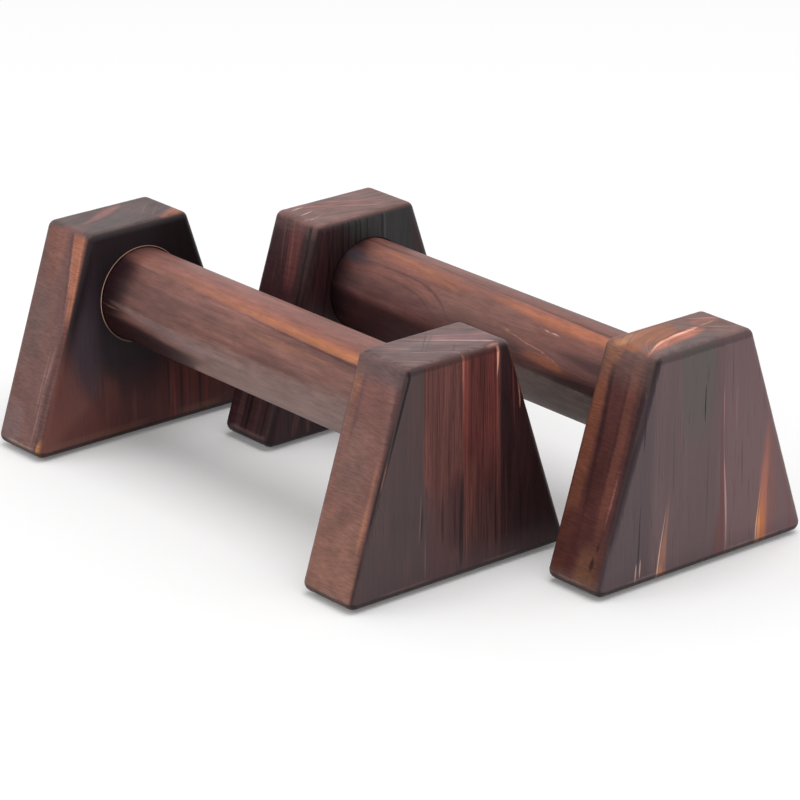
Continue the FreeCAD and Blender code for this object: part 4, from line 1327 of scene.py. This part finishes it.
def satin_finish(tree, out, colour, fields):
    """Satin finish over brushed wood: it reddens all colours a little by a product, and roughness and height
    follow the fibres and the strands."""
    rough = node(tree, "ShaderNodeMapRange", [fields["fibre"], *NOISE_RANGE, *SATIN_ROUGHNESS])
    height = node(tree, "ShaderNodeMath", [fields["fibre"], fields["strand"]], operation="ADD")
    bump = node(tree, "ShaderNodeBump",
                {"Height": height, "Strength": GRAIN_STRENGTH, "Distance": GRAIN_HEIGHT * MM})
    stained = node(tree, "ShaderNodeVectorMath", [colour, SATIN_TINT], operation="MULTIPLY")
    satin = node(tree, "ShaderNodeBsdfPrincipled",
                 {"Base Color": stained, "Roughness": rough, "IOR": SATIN_IOR,
                  "Specular IOR Level": SATIN_SPECULAR, "Normal": bump})
    tree.links.new(satin.outputs[0], out.inputs["Surface"])


print("satin roughness from", SATIN_ROUGHNESS[0], "to", SATIN_ROUGHNESS[1])

# %% [markdown]
# ## Cracks, edges and the socket's mouth
# Drying opens hair cracks along the grain, called checks. The flame bites into the upright and top edges, so
# they are charred, the bottom edge is darkened with painted shade, and where a socket's mouth was cleaned
# after scorching, a thin ring of bare wood shows. Cracks and ring could be modelled, but they are narrower
# than a face of the mesh, so all of these are drawn as colour.

# %% Checks, charred edges and painted shade at the floor
CHECK_RANGE = (0.61, 0.66)
CHECK_CLOUDS = (0.42, 0.58, 0.35, 1.0)


def checked(tree, colour, fields, amount, *where):
    """Drying checks, black inside, where their noise peaks, and mostly in the same clouds."""
    cracks = node(tree, "ShaderNodeMapRange", [fields["check"], *CHECK_RANGE, 0.0, amount])
    gathered = node(tree, "ShaderNodeMapRange", [fields["cloud"], *CHECK_CLOUDS])
    return laid_over(tree, colour, "#12090b", cracks, gathered, *where)


def edged(tree, colour, fields, char):
    """Upright and top edges scorched dark, and the bottom edge darkened with painted shade under its
    rounding, all broken up by the grain. Char is the least and the most that the flame covers on the upright
    ones."""
    # For each edge: the field that breaks it up, that field's range, the cover at its ends, and a tint
    edges = {
        "stile": ("cloud", (0.38, 0.54, *char), "#0f0608"),
        "brow": ("strand", (0.4, 0.6, 0.20, 0.65), "#241619"),
        # The bottom edge: painted shade under the rounding, where the foot meets the floor
        "sill": ("strand", (0.4, 0.6, 0.75, 0.90), "#150a0b"),
    }
    for edge, (field, swing, tint) in edges.items():
        weight = node(tree, "ShaderNodeAttribute", attribute_name=edge).outputs["Fac"]
        broken = node(tree, "ShaderNodeMapRange", [fields[field], *swing])
        colour = laid_over(tree, colour, tint, weight, broken)
    return colour


print("checks open where their noise is over", CHECK_RANGE[0])

# %% Bare ring at a socket's mouth
BARE_RADIUS = 25.9
BARE_FADE = (0.12, 0.32)
BARE_COVER = 0.95
BARE_NEAR, BARE_FAR = -26.0, 4.0
BARE_FAR_SHARE = 0.55


def bare_mouth(tree, colour, centre, fields, inner):
    """A ring of bare wood: it shows where the distance from the handle's axis is near the bare radius, and
    fades from the near side of the socket to the far one."""
    to_axis = (0, -centre[1] * MM, -AXIS_HEIGHT * MM)
    flat = node(tree, "ShaderNodeMapping",
                {"Vector": fields["place"], "Scale": (0, 1, 1), "Location": to_axis})
    radius = node(tree, "ShaderNodeVectorMath", [flat], operation="LENGTH").outputs["Value"]
    ring = node(tree, "ShaderNodeMath", [radius, BARE_RADIUS * MM], operation="SUBTRACT")
    off = node(tree, "ShaderNodeMath", [ring], operation="ABSOLUTE")
    fade = [distance * MM for distance in BARE_FADE]
    band = node(tree, "ShaderNodeMapRange", [off, *fade, BARE_COVER, 0.0])
    beside = node(tree, "ShaderNodeSeparateXYZ", [flat]).outputs["Y"]
    nearer = node(tree, "ShaderNodeMapRange", [beside, BARE_NEAR * MM, BARE_FAR * MM, 1.0, BARE_FAR_SHARE])
    return laid_over(tree, colour, "#f0d0ae", band, nearer, inner)


print("bare ring at", BARE_RADIUS, "mm from a handle's axis")

# %% [markdown]
# ## Wood of the feet
# The four blocks met the flame differently: the right rear one is nearly black, the right front one ashen.
# One material for all could not show that, so each foot has its own browns, contrast of grain, charred
# edges and checks. The slanted sides were sawn across the grain, so they show short flecks and blotches
# instead of long fibres, and the end grain of the tops took the flame in blotches.

# %% How each foot was scorched
FOOT_BROWNS = {
    "left_front": ("#4a2a27", "#5a3731", "#69443b"),
    "left_rear": ("#3f2425", "#502f2b", "#613e35"),
    "right_front": ("#4e3838", "#5b4342", "#69504b"),
    "right_rear": ("#2e1b1c", "#3a2424", "#472e2b"),
}
FOOT_CONTRAST = {"left_front": 0.42, "left_rear": 0.26, "right_front": 0.24, "right_rear": 0.36}
FOOT_CHECKS = {"left_front": 0.5, "left_rear": 0.4, "right_front": 0.45, "right_rear": 0.4}
EDGE_CHAR = {
    "left_front": (0.35, 0.95),
    "left_rear": (0.05, 0.40),
    "right_front": (0.15, 0.75),
    "right_rear": (0.35, 0.90),
}
BARE_MOUTHED = ("left_rear",)
FLECK_LONG, FLECK_WIDE, FLECK_SLOPE = 6.0, 0.6, 0.2
FLECK_SWING = (0.76, 1.24)
BLOTCH_SIZE = 12.0
BLOTCH_SWING = (0.82, 1.18)
TOP_SWING = (0.80, 1.20)


def face_tone(tree, fields, weights, sides, tone):
    """How light each face is: the grain's tone on the broad faces, that times blotches on the top, and on the
    slanted sides flecks across the grain times blotches."""
    scale = (1 / (FLECK_LONG * MM), 1 / (FLECK_LONG * MM), 1 / (FLECK_WIDE * MM))
    turned = node(tree, "ShaderNodeMapping",
                  {"Vector": fields["place"], "Rotation": (0, FLECK_SLOPE, 0), "Scale": scale})
    fleck = node(tree, "ShaderNodeTexNoise", {"Vector": turned, "Scale": 1.0, "Detail": 2.0})
    blotch = node(tree, "ShaderNodeTexNoise",
                  {"Vector": fields["place"], "Scale": 1 / (BLOTCH_SIZE * MM), "Detail": 3.0})
    flecked = node(tree, "ShaderNodeMapRange", [fleck, *NOISE_RANGE, *FLECK_SWING])
    blotched = node(tree, "ShaderNodeMapRange", [blotch, *NOISE_RANGE, *BLOTCH_SWING])
    sawn = node(tree, "ShaderNodeMath", [flecked, blotched], operation="MULTIPLY")
    top_blotch = node(tree, "ShaderNodeMapRange", [blotch, *NOISE_RANGE, *TOP_SWING])
    top_tone = node(tree, "ShaderNodeMath", [tone, top_blotch], operation="MULTIPLY")
    with_top = node(tree, "ShaderNodeMix", {MIX_SHARE: weights["top"], NUMBER_A: tone, NUMBER_B: top_tone})
    return node(tree, "ShaderNodeMix", {MIX_SHARE: sides, NUMBER_A: with_top, NUMBER_B: sawn})


print("flecks", FLECK_LONG, "x", FLECK_WIDE, "mm, blotches", BLOTCH_SIZE, "mm")


# %% Wood of the feet
def foot_wood(name, centre):
    """Scorched softwood with upright grain: clouds, marks, grain, ash and painted sheen, checks, charred
    edges and painted shade at the bottom edge.
    """
    material, out = empty_material(f"scorched_softwood_{name}_foot")
    tree = material.node_tree
    weights = {face: node(tree, "ShaderNodeAttribute", attribute_name=face).outputs["Fac"] for face in FACES}
    fields = grain_fields(tree, 2, FOOT_GRAIN, weights["top"])
    faces = foot_faces(tree, centre, fields, weights)
    colour = cloudy_brown(tree, fields, FOOT_BROWNS[name])
    for mark in FOOT_MARKS[name]:
        colour = lay_mark(tree, colour, mark, faces, SPAN, SPAN)
    sides = node(tree, "ShaderNodeMath", [weights["left"], weights["right"]], operation="ADD")
    tone = face_tone(tree, fields, weights, sides, grain_tone(tree, fields, FOOT_CONTRAST[name]))
    colour = node(tree, "ShaderNodeVectorMath", {0: colour, "Scale": tone}, operation="SCALE")
    for mark in ASH_AND_SHEEN_MARKS[name]:
        colour = lay_mark(tree, colour, mark, faces, SPAN, SPAN)
    unsawn = node(tree, "ShaderNodeMath", [1.0, sides], operation="SUBTRACT")
    colour = checked(tree, colour, fields, FOOT_CHECKS[name], unsawn)
    colour = edged(tree, colour, fields, EDGE_CHAR[name])
    if name in BARE_MOUTHED:
        colour = bare_mouth(tree, colour, centre, fields, weights["inner"])
    satin_finish(tree, out, colour, fields)
    print(material.name, len(tree.nodes), "nodes")
    return material


for name, piece in feet.items():
    low, high = box_mm(f"{name}_foot")
    piece.data.materials.append(foot_wood(name, (low + high) / 2))

# %% [markdown]
# ## Wood of the handles
# The handles are the same wood with the grain along the bar, turned and sanded smoother than the feet, so
# the grain is quieter and the colour mottled. A mottled image would show its seam under the bar. Noise in
# space has none.

# %% Wood of the handles
HANDLE_BROWNS = {"left": ("#694941", "#765449", "#825f55"), "right": ("#543834", "#634540", "#704f49")}
HANDLE_CONTRAST = 0.16
HANDLE_CHECKS = 0.3
MOTTLE_LONG, MOTTLE_WIDE = 16.0, 5.0
MOTTLE_SWING = (0.82, 1.18)


def handle_wood(bar, centre):
    """Scorched softwood with its grain along the bar: clouds, marks, grain, mottle and checks."""
    material, out = empty_material(f"scorched_softwood_{bar}_handle")
    tree = material.node_tree
    fields = grain_fields(tree, 0, HANDLE_GRAIN)
    faces = handle_faces(tree, centre, fields)
    colour = cloudy_brown(tree, fields, HANDLE_BROWNS[bar])
    for mark in HANDLE_MARKS[bar]:
        colour = lay_mark(tree, colour, mark, faces, HANDLE_SPAN, ROUND)
    scale = (1 / (MOTTLE_LONG * MM), 1 / (MOTTLE_WIDE * MM), 1 / (MOTTLE_WIDE * MM))
    drawn_out = node(tree, "ShaderNodeMapping", {"Vector": fields["place"], "Scale": scale})
    noise = node(tree, "ShaderNodeTexNoise",
                 {"Vector": drawn_out, "Scale": 1.0, "Detail": 4.0, "Roughness": 0.65})
    mottle = node(tree, "ShaderNodeMapRange", [noise, *NOISE_RANGE, *MOTTLE_SWING])
    grain = grain_tone(tree, fields, HANDLE_CONTRAST)
    tone = node(tree, "ShaderNodeMath", [grain, mottle], operation="MULTIPLY")
    colour = node(tree, "ShaderNodeVectorMath", {0: colour, "Scale": tone}, operation="SCALE")
    satin_finish(tree, out, checked(tree, colour, fields, HANDLE_CHECKS), fields)
    print(material.name, len(tree.nodes), "nodes")
    return material


for bar, piece in handles.items():
    low, high = box_mm(f"{bar}_handle")
    piece.data.materials.append(handle_wood(bar, (low + high) / 2))

# %% [markdown]
# ## Sheet rubber
# The soles are cut from moulded sheet rubber. It is black, matt and slightly dusty, with a fine grain. A flat
# black would hide its edge, so noise varies its grey, roughness and height.

# %% Rubber material
# The grain of moulded sheet is about 0.3 mm, which is too fine to show, so it is drawn at 0.8 mm
RUBBER_GRAIN = 0.8
RUBBER_ROUGHNESS = (0.6, 0.85)
RUBBER_GREYS = ("#121112", "#252324")
RUBBER_IOR = 1.52
RUBBER_HEIGHT = 0.1
RUBBER_STRENGTH = 0.3


def sheet_rubber():
    """Near-black rubber: one noise varies its grey, roughness and height."""
    material, out = empty_material("moulded_sheet_rubber")
    tree = material.node_tree
    place = node(tree, "ShaderNodeTexCoord").outputs["Object"]
    grain = node(tree, "ShaderNodeTexNoise",
                 {"Vector": place, "Scale": 1 / (RUBBER_GRAIN * MM), "Detail": 2.0})
    ramp = node(tree, "ShaderNodeValToRGB", {"Fac": grain})
    for stop, grey in zip(ramp.color_ramp.elements, RUBBER_GREYS):
        stop.color = linear(grey)
    rough = node(tree, "ShaderNodeMapRange", [grain, 0.0, 1.0, *RUBBER_ROUGHNESS])
    bump = node(tree, "ShaderNodeBump",
                {"Height": grain, "Strength": RUBBER_STRENGTH, "Distance": RUBBER_HEIGHT * MM})
    rubber = node(tree, "ShaderNodeBsdfPrincipled",
                  {"Base Color": ramp, "Roughness": rough, "IOR": RUBBER_IOR, "Normal": bump})
    tree.links.new(rubber.outputs[0], out.inputs["Surface"])
    return material


rubber = sheet_rubber()
for piece in soles.values():
    piece.data.materials.append(rubber)
print("rubber on", len(soles), "soles")

# %% [markdown]
# ## Hanging the pieces on the frame
# Each finished piece takes the place of its CAD node and moves with that bar.
# The CAD node could be moved or edited instead, but here it stays as it is and is only hidden. The CAD
# node could be moved or edited instead, but it has to stay as it is for collisions.

# %% Ride and replace
for name, piece in feet.items():
    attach(piece, f"{name.split('_')[0]}_bar")
    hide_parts(f"{name}_foot")
for name, piece in soles.items():
    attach(piece, f"{name.split('_')[0]}_bar")
    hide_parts(f"{name}_sole")
for bar, piece in handles.items():
    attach(piece, f"{bar}_bar")
    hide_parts(f"{bar}_handle")
print("pieces on the frame:", len(feet) + len(soles) + len(handles))
